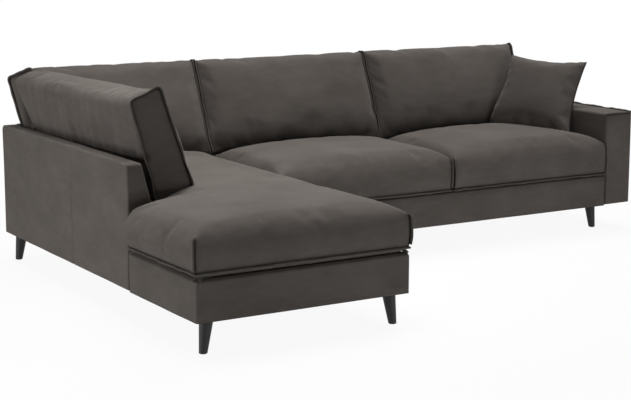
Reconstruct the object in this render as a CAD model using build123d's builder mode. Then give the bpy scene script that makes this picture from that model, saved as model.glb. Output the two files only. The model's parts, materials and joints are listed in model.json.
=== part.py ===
from build123d import *
from math import cos, radians, sin, tan
import os

os.makedirs("parts", exist_ok=True)

# Overall sizes, in millimetres. The sofa stands on z = 0, its seats face -Y and the chaise is on the left.
total_width = 2990  # outer face of the side panel to outer face of the arm
total_depth = 1944  # front of the chaise base to the rear faces
chaise_width = 923
sofa_depth = 907  # front of the two-seat base to the rear faces
base_bottom = 129
base_top = 284
arm_width = 164
arm_height = 590

# The padded panels behind the back cushions taper from a thick foot to a thin top.
panel_height = 627
panel_top_thick = 63
panel_foot_thick = 150
side_panel_length = 1368

# Timber, padding and cloth of the frame
pad = 14  # foam and cover over the timber
edge_round = 12  # rounding of padded edges
lip = 14  # how far a border turns in over its rail
rail_thick = 28
plank_thick = 36
rib_thick = 18
rib_step = 430
top_rail_depth = 40
cloth_thick = 1.5
cloth_inset = 5
block_size = 90
block_height = 100

# Turned legs with their hanger bolts, threaded inserts and floor glides
leg_top_radius = 27.5
leg_foot_radius = 16
leg_splay_x = 17
leg_splay_y = 5
leg_inset_x = 65
leg_inset_y = 51
rear_leg_inset = 40
sofa_leg_inset_x = 58
sofa_leg_inset_y = 100
arm_leg_inset = 46
glide_radius = 12
glide_height = 2
leg_bolt_radius = 4
leg_bolt_reach = 25  # length in the leg, and again in the insert
insert_radius = 6.5
fit_gap = 0.3

# Bolts between panels and rails, and the plates that join the two modules
panel_bolt_radius = 4
panel_bolt_reach = 45
bolt_head_radius = 8
bolt_head_height = 5
bolt_step = 520
bolt_end_distance = 150
joining_plate_length = 120
joining_plate_thick = 3
joining_plate_edge = 14
joining_screw_radius = 2.5
joining_screw_reach = 25
joining_screw_step = 70
joining_setback = 260  # from the sofa's front and rear rails

# Zigzag springs and their clips
wire_radius = 1.9
spring_half_bar = 14
spring_pitch = 36
spring_spacing = 150
clip_length = 10
clip_width = 22
clip_height = 8
clip_inset = 7  # from the rail's inner edge to the wire

# Seat cushions
seat_edge = 438  # height of the top seam
seat_overhang = 14
seat_gap = 3
wall_bulge = 6
seat_draw = 8  # how far the long sides draw in between the corners
shoulder = 150
shoulder_rise = 34
knee_width = 0.42  # where the shoulder's arc bends, as shares of its width and of its rise
knee_rise = 0.68
crown_rise = 16
cover_thick = 6
rest_gap = 0.5  # between a cushion and what it rests on

# Back cushions lean on the top edge of the panels.
back_lean = 22
back_thick = 145
back_above = 225  # from the panel's top edge to the cushion's rear top edge, along the lean
front_crown = 45
rear_crown = 4
top_crown = 14
top_draw = 6
back_gap = 10
corner_back_inset = 30
rest_height = 452  # flat on which the back cushions stand

# Side cushion of the chaise, a little askew
side_lean = 20.6
side_thick = 140
side_above = 247
side_front = 670  # from the chaise front to its front end
side_gap_front = 63  # clear of the panel's top edge at its front end
side_gap_rear = 15
side_rear_crown = 20
side_end_gap = 8  # clear of the corner cushion's crown

# Loose scatter cushion in the corner by the arm
scatter_width = 450
scatter_height = 430
scatter_thick = 150
scatter_bow = 22
scatter_face_bow = 7
scatter_block_width = 300
scatter_block_height = 280
scatter_block_thick = 60
scatter_turn = 61
scatter_lean = 33
scatter_roll = 5
scatter_from_arm = 62
scatter_from_front = 470
scatter_centre_height = 660

# Places worked out from the sizes above. The origin is on the floor under the middle of the whole.
lean_sin = sin(radians(back_lean))
lean_cos = cos(radians(back_lean))
back_rest = (rear_crown + rest_gap) / lean_cos
back_reach = back_above * lean_sin - panel_top_thick - back_rest  # beyond the rear face
x_left = (seat_overhang - total_width) / 2
x_right = x_left + total_width
x_join = x_left + chaise_width
x_arm = x_right - arm_width
x_split = (x_join + x_arm) / 2
y_front = (seat_overhang - total_depth - back_reach) / 2
y_rear = y_front + total_depth
y_sofa = y_rear - sofa_depth
y_panel = y_rear - side_panel_length
y_foot = y_rear - panel_foot_thick
frame_bottom = base_bottom + cloth_thick
rail_top = base_top - pad
rail_span = (frame_bottom, rail_top)
plank_top = frame_bottom + plank_thick
edge_depth = pad + rail_thick  # from a padded face to the inner face of its rail
rail_face = panel_foot_thick - rail_thick  # from a panel's outer face to its rail
panel_slope = (panel_foot_thick - panel_top_thick) / (panel_height - base_top)
panel_stretch = (1 + panel_slope**2) ** 0.5

# Panels are drawn on planes with x inwards from the outer face and y upwards.
side_plane = Plane(origin=(x_left, y_rear, 0), x_dir=(1, 0, 0), z_dir=(0, -1, 0))
corner_plane = Plane(origin=(x_join, y_rear, 0), x_dir=(0, -1, 0), z_dir=(-1, 0, 0))
back_plane = Plane(origin=(x_arm, y_rear, 0), x_dir=(0, -1, 0), z_dir=(-1, 0, 0))


def finish(piece, name):
    """Label a piece and write it."""
    piece.label = name
    export_step(piece, f"parts/{name}.step")


def slab(x_span, y_span, z_span, mode=Mode.ADD):
    """Add or cut a square-edged block that fills three spans."""
    spans = (x_span, y_span, z_span)
    with Locations(tuple((low + high) / 2 for low, high in spans)):
        Box(*(high - low for low, high in spans), mode=mode)


def rods(planes, radius, length, mode=Mode.ADD):
    """Add or cut round rods that start on planes and run along their normals."""
    with Locations(*planes):
        Cylinder(radius, length, align=(Align.CENTER, Align.CENTER, Align.MIN), mode=mode)


def evenly(start, end, step):
    """Places from start to end, at about one step apart."""
    count = max(1, round((end - start) / step))
    return [start + (end - start) * i / count for i in range(count + 1)]


# Legs: the top centre of each, and the direction in which its foot splays out
legs = {
    "chaise_leg_front_left": (x_left + leg_inset_x, y_front + leg_inset_y, -1, -1),
    "chaise_leg_front_right": (x_join - leg_inset_x, y_front + leg_inset_y, 1, -1),
    "chaise_leg_rear_left": (x_left + leg_inset_x, y_rear - rear_leg_inset, -1, 1),
    "chaise_leg_rear_right": (x_join - leg_inset_x, y_rear - rear_leg_inset, 1, 1),
    "sofa_leg_front_left": (x_join + sofa_leg_inset_x, y_sofa + sofa_leg_inset_y, -1, -1),
    "sofa_leg_front_right": (x_arm - rail_thick / 2, y_sofa + sofa_leg_inset_y, 1, -1),
    "sofa_leg_rear_left": (x_join + sofa_leg_inset_x, y_rear - rear_leg_inset, -1, 1),
    "sofa_leg_rear_right": (x_arm - arm_leg_inset, y_rear - rear_leg_inset, 1, 1),
}
insert_planes = [Plane((x, y, frame_bottom)) for x, y, _, _ in legs.values()]
leg_bolt_planes = [plane.offset(-leg_bolt_reach) for plane in insert_planes]
leg_hole_planes = [plane.offset(-cloth_thick) for plane in insert_planes]

# Panel bolts start at the inner face of a rail and run out into the panel's plank.
side_bolts = [
    Plane((x_left + panel_foot_thick, y, frame_bottom + plank_thick / 2), z_dir=(-1, 0, 0))
    for y in evenly(y_panel + bolt_end_distance, y_foot - bolt_end_distance, bolt_step)
]
rear_bolts = [
    Plane((x, y_foot, frame_bottom + plank_thick / 2), z_dir=(0, 1, 0))
    for start, end in ((x_left + panel_foot_thick, x_join), (x_join, x_arm))
    for x in evenly(start + bolt_end_distance, end - bolt_end_distance, bolt_step)
]
arm_bolts = [
    Plane((x_arm - rail_thick, y, frame_bottom + plank_thick / 2), z_dir=(1, 0, 0))
    for y in evenly(y_sofa + 2 * bolt_end_distance, y_foot - bolt_end_distance, bolt_step)
]
panel_bolt_planes = side_bolts + rear_bolts + arm_bolts

# Two flat plates under the rails hold the two modules together.
joining_places = (y_sofa + joining_setback, y_foot - joining_setback)
joining_x = (x_join - edge_depth + rail_thick / 2, x_join + rail_thick / 2)
joining_planes = [
    Plane((x, y + side * joining_screw_step / 2, base_bottom - joining_plate_thick))
    for x in joining_x
    for y in joining_places
    for side in (-1, 1)
]


def bore_fastenings():
    """Cut the holes of every bolt, insert and screw that passes through a piece of timber."""
    rods(insert_planes, insert_radius + fit_gap, leg_bolt_reach + fit_gap, Mode.SUBTRACT)
    rods(panel_bolt_planes, panel_bolt_radius + fit_gap, rail_thick + panel_bolt_reach, Mode.SUBTRACT)
    rods(joining_planes, joining_screw_radius + fit_gap, joining_screw_reach, Mode.SUBTRACT)


# Rails of the two base frames: their spans across and along
x_chaise_inner = (x_left + edge_depth, x_join - edge_depth)
x_side_rail = (x_left + rail_face, x_left + panel_foot_thick)
x_sofa = (x_join, x_arm)
x_sofa_inner = (x_join + rail_thick, x_arm - rail_thick)
y_cross = (y_panel - rail_thick, y_panel)
y_rear_rail = (y_foot, y_foot + rail_thick)
y_sofa_inner = (y_sofa + edge_depth, y_foot)
rails = {
    "chaise_front_rail": ((x_left + pad, x_join - pad), (y_front + pad, y_front + edge_depth)),
    "chaise_left_front_rail": ((x_left + pad, x_left + edge_depth), (y_front + edge_depth, y_cross[0])),
    "chaise_cross_rail": ((x_left + pad, x_chaise_inner[1]), y_cross),
    "chaise_left_rear_rail": (x_side_rail, (y_panel, y_rear_rail[1])),
    "chaise_right_rail": ((x_join - edge_depth, x_join - pad), (y_front + edge_depth, y_foot)),
    "chaise_rear_rail": ((x_side_rail[1], x_join - pad), y_rear_rail),
    "sofa_front_rail": (x_sofa, (y_sofa + pad, y_sofa + edge_depth)),
    "sofa_rear_rail": (x_sofa, y_rear_rail),
    "sofa_left_rail": ((x_sofa[0], x_sofa_inner[0]), y_sofa_inner),
    "sofa_right_rail": ((x_sofa_inner[1], x_sofa[1]), y_sofa_inner),
    "sofa_centre_rail": ((x_split - rail_thick / 2, x_split + rail_thick / 2), y_sofa_inner),
}
for name, (x_span, y_span) in rails.items():
    with BuildPart() as rail:
        slab(x_span, y_span, rail_span)
        bore_fastenings()
    finish(rail.part, name)

# Glue blocks carry the front legs where no rail or plank lies over them.
block_corners = (
    (x_chaise_inner[0], y_front + edge_depth),
    (x_chaise_inner[1] - block_size, y_front + edge_depth),
    (x_sofa_inner[0], y_sofa_inner[0]),
)
with BuildPart() as corner_blocks:
    for x, y in block_corners:
        slab((x, x + block_size), (y, y + block_size), (frame_bottom, frame_bottom + block_height))
    bore_fastenings()
finish(corner_blocks.part, "corner_blocks")

# Padded borders wrap the outer face and the top of the visible rails.
borders = {
    "chaise_front_border": (
        ((x_left, x_join), (y_front, y_front + pad + lip)),
        ((x_left + pad, x_join - pad), (y_front + pad, y_front + edge_depth)),
        Axis.X,
    ),
    "chaise_left_border": (
        ((x_left, x_left + pad + lip), (y_front + pad + lip, y_panel)),
        ((x_left + pad, x_left + edge_depth), (y_front, y_panel)),
        Axis.Y,
    ),
    "chaise_right_border": (
        ((x_join - pad - lip, x_join), (y_front + pad + lip, y_foot)),
        ((x_join - edge_depth, x_join - pad), (y_front, y_foot)),
        Axis.Y,
    ),
    "sofa_front_border": (
        (x_sofa, (y_sofa, y_sofa + pad + lip)),
        (x_sofa, (y_sofa + pad, y_sofa + edge_depth)),
        Axis.X,
    ),
}
for name, (outer, pocket, along) in borders.items():
    with BuildPart() as border:
        slab(*outer, (frame_bottom, base_top))
        top_edges = border.edges().filter_by(along).group_by(Axis.Z)[-1]
        across = Axis.Y if along == Axis.X else Axis.X
        outside = top_edges.sort_by(across)[-1 if name == "chaise_right_border" else 0]
        fillet(outside, edge_round)
        slab(*pocket, rail_span, Mode.SUBTRACT)
    finish(border.part, name)


def panel_inner(height, inset=0):
    """Distance from a panel's outer face to its sloping inner face, at a height."""
    return panel_top_thick + panel_slope * (panel_height - height) - inset * panel_stretch


def wedge(plane, inset, length):
    """A solid run of the panel's tapering section, drawn in or grown by an inset."""
    top = panel_height - inset
    with BuildPart() as run:
        with BuildSketch(plane):
            with BuildLine():
                Polyline(
                    (inset, frame_bottom),
                    (inset, top),
                    (panel_inner(top, inset), top),
                    (panel_inner(base_top, inset), base_top),
                    (panel_foot_thick - inset, frame_bottom),
                    close=True,
                )
            make_face()
        extrude(amount=length)
    return run.part


def panel_cover(plane, length, meets=None):
    """Padded cover of a panel: closed outside, on top and at its ends, open below on the rail's side."""
    outer = wedge(plane, 0, length)
    hollow = wedge(plane.offset(pad), pad, length - 2 * pad)
    with BuildPart() as cover:
        add(outer)
        fillet(cover.faces().sort_by(Axis.Z)[-1].edges(), edge_round)
        add(hollow, mode=Mode.SUBTRACT)
        for start, face in ((pad, pad), (0, rail_face)):
            with BuildSketch(plane.offset(start)):
                with Locations(((face + panel_foot_thick) / 2, (frame_bottom + base_top) / 2)):
                    Rectangle(panel_foot_thick - face, base_top - frame_bottom)
            extrude(amount=length - 2 * start, mode=Mode.SUBTRACT)
        if meets:
            add(meets, mode=Mode.SUBTRACT)
    return cover.part


def panel_frame(plane, start, end):
    """Timber of a panel between two places along it: a plank, a top rail and plywood ribs."""
    top = panel_height - pad
    with BuildPart() as frame:
        with BuildSketch(plane.offset(start)):
            with Locations(((pad + rail_face) / 2, (frame_bottom + plank_top) / 2)):
                Rectangle(rail_face - pad, plank_thick)
            with Locations(((pad + panel_inner(top, pad)) / 2, top - top_rail_depth / 2)):
                Rectangle(panel_inner(top, pad) - pad, top_rail_depth)
        extrude(amount=end - start)
        for place in evenly(start, end - rib_thick, rib_step):
            with BuildSketch(plane.offset(place)):
                with BuildLine():
                    Polyline(
                        (pad, frame_bottom),
                        (pad, top),
                        (panel_inner(top, pad), top),
                        (panel_inner(base_top, pad), base_top),
                        (rail_face, base_top),
                        (rail_face, frame_bottom),
                        close=True,
                    )
                make_face()
            extrude(amount=rib_thick)
        bore_fastenings()
    return frame.part


side_solid = wedge(side_plane, 0, side_panel_length)
finish(panel_cover(side_plane, side_panel_length), "side_panel_cover")
finish(panel_frame(side_plane, pad, side_panel_length - pad), "side_panel_frame")
finish(panel_cover(corner_plane, chaise_width, side_solid), "corner_panel_cover")
finish(panel_frame(corner_plane, pad, chaise_width - panel_foot_thick), "corner_panel_frame")
finish(panel_cover(back_plane, x_arm - x_join), "back_panel_cover")
finish(panel_frame(back_plane, pad, x_arm - x_join - pad), "back_panel_frame")

# The box arm runs the full depth of the two-seat module.
arm_hollow = ((x_arm + pad, x_right - pad), (y_sofa + pad, y_rear - pad))
with BuildPart() as arm_cover:
    slab((x_arm, x_right), (y_sofa, y_rear), (frame_bottom, arm_height))
    fillet(arm_cover.faces().sort_by(Axis.Z)[-1].edges(), edge_round)
    slab(*arm_hollow, (frame_bottom, arm_height - pad), Mode.SUBTRACT)
    slab((x_arm, x_arm + pad), arm_hollow[1], (frame_bottom, base_top), Mode.SUBTRACT)
finish(arm_cover.part, "arm_cover")

with BuildPart() as arm_frame:
    slab((x_arm, arm_hollow[0][1]), arm_hollow[1], (frame_bottom, plank_top))
    slab(*arm_hollow, (arm_height - pad - rib_thick, arm_height - pad))
    for y in evenly(arm_hollow[1][0], arm_hollow[1][1] - rib_thick, rib_step):
        slab(arm_hollow[0], (y, y + rib_thick), (plank_top, arm_height - pad))
    bore_fastenings()
finish(arm_frame.part, "arm_frame")

# Dust cloths close the underside, with holes for the legs and the joining screws.
cloths = {
    "chaise_dust_cloth": (
        (x_left + cloth_inset, x_join - cloth_inset),
        (y_front + cloth_inset, y_rear - cloth_inset),
    ),
    "sofa_dust_cloth": (
        (x_join + cloth_inset, x_right - cloth_inset),
        (y_sofa + cloth_inset, y_rear - cloth_inset),
    ),
}
for name, (x_span, y_span) in cloths.items():
    with BuildPart() as cloth:
        slab(x_span, y_span, (base_bottom, frame_bottom))
        rods(leg_hole_planes, leg_top_radius + fit_gap, cloth_thick, Mode.SUBTRACT)
        rods(joining_planes, joining_screw_radius + fit_gap, joining_screw_reach, Mode.SUBTRACT)
    finish(cloth.part, name)

# Tapered legs
for name, (x, y, out_x, out_y) in legs.items():
    with BuildPart() as leg:
        with BuildSketch(Plane((x + out_x * leg_splay_x, y + out_y * leg_splay_y, glide_height))):
            Circle(leg_foot_radius)
        with BuildSketch(Plane((x, y, frame_bottom))):
            Circle(leg_top_radius)
        loft()
        with Locations((x, y, frame_bottom)):
            Hole(leg_bolt_radius + fit_gap, leg_bolt_reach + fit_gap)
    finish(leg.part, name)

with BuildPart() as floor_glides:
    for x, y, out_x, out_y in legs.values():
        foot = Plane((x + out_x * leg_splay_x, y + out_y * leg_splay_y, 0))
        rods([foot], glide_radius, glide_height)
finish(floor_glides.part, "floor_glides")

with BuildPart() as leg_inserts:
    rods(insert_planes, insert_radius, leg_bolt_reach)
    rods(insert_planes, leg_bolt_radius + fit_gap, leg_bolt_reach, Mode.SUBTRACT)
finish(leg_inserts.part, "leg_inserts")

with BuildPart() as leg_bolts:
    rods(leg_bolt_planes, leg_bolt_radius, 2 * leg_bolt_reach)
finish(leg_bolts.part, "leg_bolts")

with BuildPart() as panel_bolts:
    rods(panel_bolt_planes, panel_bolt_radius, rail_thick + panel_bolt_reach)
    heads = [plane.offset(-bolt_head_height) for plane in panel_bolt_planes]
    rods(heads, bolt_head_radius, bolt_head_height)
finish(panel_bolts.part, "panel_bolts")

with BuildPart() as joining_plates:
    for y in joining_places:
        slab(
            (joining_x[0] - joining_plate_edge, joining_x[1] + joining_plate_edge),
            (y - joining_plate_length / 2, y + joining_plate_length / 2),
            (base_bottom - joining_plate_thick, base_bottom),
        )
    rods(joining_planes, joining_screw_radius + fit_gap, joining_plate_thick, Mode.SUBTRACT)
finish(joining_plates.part, "joining_plates")

with BuildPart() as joining_screws:
    rods(joining_planes, joining_screw_radius, joining_screw_reach)
    heads = [plane.offset(-joining_screw_radius) for plane in joining_planes]
    rods(heads, 2 * joining_screw_radius, joining_screw_radius)
finish(joining_screws.part, "joining_screws")


def zigzag(length):
    """One zigzag spring along +X: cross bars joined by half turns, on alternate sides."""
    count = round(length / spring_pitch)
    pitch = length / count
    with BuildPart() as spring:
        with BuildLine() as route:
            for i in range(count + 1):
                side = 1 if i % 2 == 0 else -1
                Line((i * pitch, -side * spring_half_bar), (i * pitch, side * spring_half_bar))
                if i < count:
                    turn = side * (spring_half_bar + pitch / 2)
                    ThreePointArc(
                        (i * pitch, side * spring_half_bar),
                        ((i + 0.5) * pitch, turn),
                        ((i + 1) * pitch, side * spring_half_bar),
                    )
        with BuildSketch(Plane((0, -spring_half_bar, 0), z_dir=(0, 1, 0))):
            Circle(wire_radius)
        sweep(path=route.wires()[0])
    return spring.part


# Springs run across the chaise and from front to back under the two seats.
wire_height = rail_top + clip_height / 2
spring_zones = {
    "chaise_front": (x_chaise_inner, (y_front + edge_depth, y_cross[0])),
    "chaise_rear": ((x_side_rail[1], x_chaise_inner[1]), (y_panel, y_foot)),
    "sofa_middle": (y_sofa_inner, (x_sofa_inner[0], x_split - rail_thick / 2)),
    "sofa_right": (y_sofa_inner, (x_split + rail_thick / 2, x_sofa_inner[1])),
}
spring_places = {"chaise": [], "sofa": []}
for zone, (run, row) in spring_zones.items():
    module = zone.split("_")[0]
    start = run[0] - clip_inset
    length = run[1] - run[0] + 2 * clip_inset
    for place in evenly(row[0] + spring_spacing / 2, row[1] - spring_spacing / 2, spring_spacing):
        if module == "chaise":
            spot = Location((start, place, wire_height))
        else:
            spot = Location((place, start, wire_height), (0, 0, 90))
        spring_places[module].append((length, spot))

for module, places in spring_places.items():
    patterns = {length: zigzag(length) for length in {length for length, _ in places}}
    with BuildPart() as springs:
        for length, spot in places:
            with Locations(spot):
                add(patterns[length])
    finish(springs.part, f"{module}_springs")

with BuildPart() as spring_clips:
    for length, spot in spring_places["chaise"] + spring_places["sofa"]:
        for end in (0, length):
            with Locations(spot * Location((end, 0, 0))):
                Box(clip_length, clip_width, clip_height)
                Cylinder(wire_radius + fit_gap, clip_width, rotation=(90, 0, 0), mode=Mode.SUBTRACT)
finish(spring_clips.part, "spring_clips")

# How a cushion swells from either end to its middle: the place along it and the share of the full crown
half_swell = ((0, 0.1), (0.05, 0.42), (0.15, 0.76), (0.3, 0.95))
swell = (*half_swell, (0.5, 1), *((1 - place, share) for place, share in reversed(half_swell)))


def seat_form(x_span, y_span):
    """A seat cushion: straight ends, bulging walls and a crowned top."""
    low = base_top + rest_gap
    edge = seat_edge
    with BuildPart() as form:
        for place, share in swell:
            x = x_span[0] + place * (x_span[1] - x_span[0])
            front = y_span[0] + seat_draw * share
            rear = y_span[1] - seat_draw * share
            rise = shoulder_rise * share
            with BuildSketch(Plane.YZ.offset(x)):
                with BuildLine():
                    ThreePointArc((front, low), (front - wall_bulge, (low + edge) / 2), (front, edge))
                    ThreePointArc(
                        (front, edge),
                        (front + knee_width * shoulder, edge + knee_rise * rise),
                        (front + shoulder, edge + rise),
                    )
                    ThreePointArc(
                        (front + shoulder, edge + rise),
                        ((front + rear) / 2, edge + rise + crown_rise * share),
                        (rear - shoulder, edge + rise),
                    )
                    ThreePointArc(
                        (rear - shoulder, edge + rise),
                        (rear - knee_width * shoulder, edge + knee_rise * rise),
                        (rear, edge),
                    )
                    Line((rear, edge), (rear, low))
                    Line((rear, low), (front, low))
                make_face()
        loft()
    return form.part


y_seat = y_sofa - seat_overhang + wall_bulge
y_seat_rear = y_foot - seat_gap
chaise_seat_spans = (
    (x_left - seat_overhang, x_join - seat_gap),
    (y_front - seat_overhang + wall_bulge, y_seat_rear),
)
middle_seat_spans = ((x_join + seat_gap, x_split - seat_gap), (y_seat, y_seat_rear))
right_seat_spans = ((x_split + seat_gap, x_arm - seat_gap), (y_seat, y_seat_rear))


def lean_point(across, along):
    """A point of a back cushion's end: across from its front face, and up from the panel's edge."""
    y = y_rear - panel_top_thick - back_rest + along * lean_sin + (across - back_thick) * lean_cos
    z = panel_height + along * lean_cos - (across - back_thick) * lean_sin
    return y, z


def lean_place(across, height):
    """The place up a back cushion's face where it reaches a height."""
    return (height - panel_height + (across - back_thick) * lean_sin) / lean_cos


def back_form(x_span):
    """A back cushion: a leaning section that swells to the front, with straight ends and a flat underside."""
    low_front = lean_place(0, rest_height + rest_gap)
    low_rear = lean_place(back_thick, rest_height + rest_gap)
    with BuildPart() as form:
        for place, share in swell:
            top = back_above - top_draw * share
            middle = (top + low_front) / 2
            with BuildSketch(Plane.YZ.offset(x_span[0] + place * (x_span[1] - x_span[0]))):
                with BuildLine():
                    ThreePointArc(
                        lean_point(0, low_front), lean_point(-front_crown * share, middle), lean_point(0, top)
                    )
                    ThreePointArc(
                        lean_point(0, top),
                        lean_point(back_thick / 2, top + top_crown * share),
                        lean_point(back_thick, top),
                    )
                    ThreePointArc(
                        lean_point(back_thick, top),
                        lean_point(back_thick + rear_crown * share, middle),
                        lean_point(back_thick, low_rear),
                    )
                    Line(lean_point(back_thick, low_rear), lean_point(0, low_front))
                make_face()
        loft()
    return form.part


def back_block(x_span, inset):
    """The plain fibre block inside a back cushion."""
    top = back_above - top_draw - inset
    low = rest_height + rest_gap + inset
    with BuildPart() as block:
        with BuildSketch(Plane.YZ.offset(x_span[0] + inset)):
            with BuildLine():
                Polyline(
                    lean_point(inset, lean_place(inset, low)),
                    lean_point(inset, top),
                    lean_point(back_thick - inset, top),
                    lean_point(back_thick - inset, lean_place(back_thick - inset, low)),
                    close=True,
                )
            make_face()
        extrude(amount=x_span[1] - x_span[0] - 2 * inset)
    return block.part


# The side cushion stands askew: its outer edge nears the panel towards the rear.
side_sin = sin(radians(side_lean))
side_cos = cos(radians(side_lean))
side_first = y_front + side_front
side_last = lean_point(-front_crown - side_end_gap, lean_place(-front_crown - side_end_gap, panel_height))[0]


def side_spot(across, along, place):
    """A point of the side cushion's section: in from its outer face's edge, up along its lean."""
    gap = side_gap_front + (side_gap_rear - side_gap_front) * place
    x = x_left + panel_top_thick + gap + (side_thick - across) * side_cos - along * side_sin
    return x, along * side_cos + (side_thick - across) * side_sin


def side_low(across, inset):
    """The place along the side cushion's lean where it meets the flat that it rests on."""
    return (rest_height + rest_gap + inset - panel_height - (side_thick - across) * side_sin) / side_cos


def side_back_form():
    """The side cushion: an upright front end, lofted to a rear end that leans with the corner cushion."""
    with BuildPart() as form:
        for place, share in swell:
            tilt = radians(back_lean) * place
            y = side_first + (side_last - side_first) * place
            top = side_above - top_draw * share
            middle = (top + side_low(0, 0)) / 2
            outline = (
                side_spot(0, side_low(0, 0), place),
                side_spot(-front_crown * share, middle, place),
                side_spot(0, top, place),
                side_spot(side_thick / 2, top + top_crown * share, place),
                side_spot(side_thick, top, place),
                side_spot(side_thick + side_rear_crown * share, middle, place),
                side_spot(side_thick, side_low(side_thick, 0), place),
            )
            points = [(x, z / cos(tilt)) for x, z in outline]
            with BuildSketch(Plane((0, y, panel_height), x_dir=(1, 0, 0), z_dir=(0, -cos(tilt), sin(tilt)))):
                with BuildLine():
                    for i in (0, 2, 4):
                        ThreePointArc(*points[i : i + 3])
                    Line(points[6], points[0])
                make_face()
        loft()
    return form.part


def side_block(inset):
    """The plain fibre block inside the side cushion, as long as its lower edge."""
    drop = panel_height - rest_height
    length = side_last - side_first - drop * tan(radians(back_lean)) - 2 * inset
    drift = (side_gap_rear - side_gap_front) * length / (side_last - side_first)
    inner = side_thick - inset
    top = side_above - top_draw - inset
    corners = (
        side_spot(inset, side_low(inset, inset), 0),
        side_spot(inset, top, 0),
        side_spot(inner, top, 0),
        side_spot(inner, side_low(inner, inset), 0),
    )
    with BuildPart() as block:
        with BuildSketch(Plane((0, side_first + inset, panel_height), x_dir=(1, 0, 0), z_dir=(0, -1, 0))):
            with BuildLine():
                Polyline(*corners, close=True)
            make_face()
        extrude(amount=(length**2 + drift**2) ** 0.5, dir=(drift, length, 0))
    return block.part


def seat_block(x_span, y_span, inset):
    """The plain foam block inside a seat cushion."""
    with BuildPart() as block:
        slab(
            (x_span[0] + inset, x_span[1] - inset),
            (y_span[0] + seat_draw + inset, y_span[1] - seat_draw - inset),
            (base_top + rest_gap + inset, seat_edge - inset),
        )
    return block.part


def side_notch(inset):
    """The room that the side panel takes from the chaise seat cushion."""
    room = seat_gap + inset
    run = wedge(side_plane.offset(-panel_foot_thick), -room, side_panel_length + panel_foot_thick + room)
    with BuildPart() as notch:
        add(run)
        slab(
            (x_left - 2 * seat_overhang, x_left),
            (y_panel - room, y_rear + panel_foot_thick),
            (frame_bottom, panel_height),
        )
    return notch.part


def without(form, *tools):
    """A form with other forms cut away."""
    with BuildPart() as rest:
        add(form)
        for tool in tools:
            add(tool, mode=Mode.SUBTRACT)
    return rest.part


def kept_above(form, *planes):
    """The part of a form that lies above each of some planes."""
    with BuildPart() as rest:
        add(form)
        for plane in planes:
            split(bisect_by=plane, keep=Keep.TOP)
    return rest.part


# Where a back cushion rests, the seat cushion is pressed flat.
back_line = lean_point(0, lean_place(0, rest_height))[0] - rest_gap
with BuildPart() as back_rest_room:
    slab((x_left - seat_overhang, x_arm), (back_line, y_rear), (rest_height, arm_height))

with BuildPart() as side_rest_room:
    with BuildSketch(Plane.XY.offset(rest_height)):
        with BuildLine():
            near = side_spot(-rest_gap, side_low(0, 0), 0)[0]
            far = side_spot(-rest_gap, side_low(0, 0), 1)[0]
            Polyline(
                (x_left - seat_overhang, side_first - rest_gap),
                (near, side_first - rest_gap),
                (far, y_rear),
                (x_left - seat_overhang, y_rear),
                close=True,
            )
        make_face()
    extrude(amount=arm_height - rest_height)

corner_span = (x_left + corner_back_inset, x_join - back_gap)
middle_span = (x_join, x_split - back_gap / 2)
right_span = (x_split + back_gap / 2, x_arm - back_gap)


def panel_trim(inset):
    """The side panel's sloping face, a little way into the room."""
    return Plane(
        (x_left + panel_inner(panel_height, -rest_gap - inset), 0, panel_height),
        x_dir=(0, 1, 0),
        z_dir=(1, 0, panel_slope),
    )


# The scatter cushion leans on the arm's rounded edge, clear of the right back cushion's crown.
turn = radians(scatter_turn)
tip = radians(scatter_lean)
scatter_plane = Plane(
    (x_arm - scatter_from_arm, y_sofa + scatter_from_front, scatter_centre_height),
    x_dir=(cos(turn), -sin(turn), 0),
    z_dir=(-sin(turn) * cos(tip), -cos(turn) * cos(tip), sin(tip)),
).rotated((0, 0, -scatter_roll))


def scatter_trims(inset):
    """The two planes that the scatter cushion rests against."""
    slope = Vector(-1, 0, tan(tip) * sin(turn)).normalized()
    ease = edge_round * (slope.Z - slope.X - 1) - rest_gap - inset
    arm_edge = Vector(x_arm, 0, arm_height) - slope * ease
    clear = front_crown + rest_gap + inset
    return (
        Plane(arm_edge, x_dir=(0, 1, 0), z_dir=slope),
        Plane((0, *lean_point(-clear, 0)), x_dir=(1, 0, 0), z_dir=(0, -lean_cos, lean_sin)),
    )


def bowed_square(half_width, half_height, bow):
    """A four-sided outline whose sides bow out, or in where the bow is negative."""
    corners = [(x * half_width, y * half_height) for x, y in ((-1, -1), (1, -1), (1, 1), (-1, 1))]
    middles = ((0, -half_height - bow), (half_width + bow, 0), (0, half_height + bow), (-half_width - bow, 0))
    with BuildLine() as outline:
        for i in range(4):
            ThreePointArc(corners[i], middles[i], corners[(i + 1) % 4])
    make_face(outline.edges())


# Outlines of the scatter cushion from its seam to its crown: shares of the thickness and size, and the bow
scatter_outlines = ((0, 1, -scatter_bow), (0.62, 0.72, scatter_face_bow), (1, 0.3, scatter_face_bow))


def scatter_form():
    """The scatter cushion: pointed corners, drawn-in sides and two crowned faces."""
    with BuildPart() as form:
        for side in (1, -1):
            crown = side * scatter_thick / 2
            for height, size, bow in scatter_outlines:
                with BuildSketch(scatter_plane.offset(height * crown)):
                    bowed_square(size * scatter_width / 2, size * scatter_height / 2, bow)
            loft()
    return kept_above(form.part, *scatter_trims(0))


def scatter_block(inset):
    """The plain fibre block inside the scatter cushion."""
    with BuildPart() as block:
        with BuildSketch(scatter_plane.offset(inset - scatter_block_thick / 2)):
            Rectangle(scatter_block_width - 2 * inset, scatter_block_height - 2 * inset)
        extrude(amount=scatter_block_thick - 2 * inset)
    return kept_above(block.part, *scatter_trims(cover_thick + inset))


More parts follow.
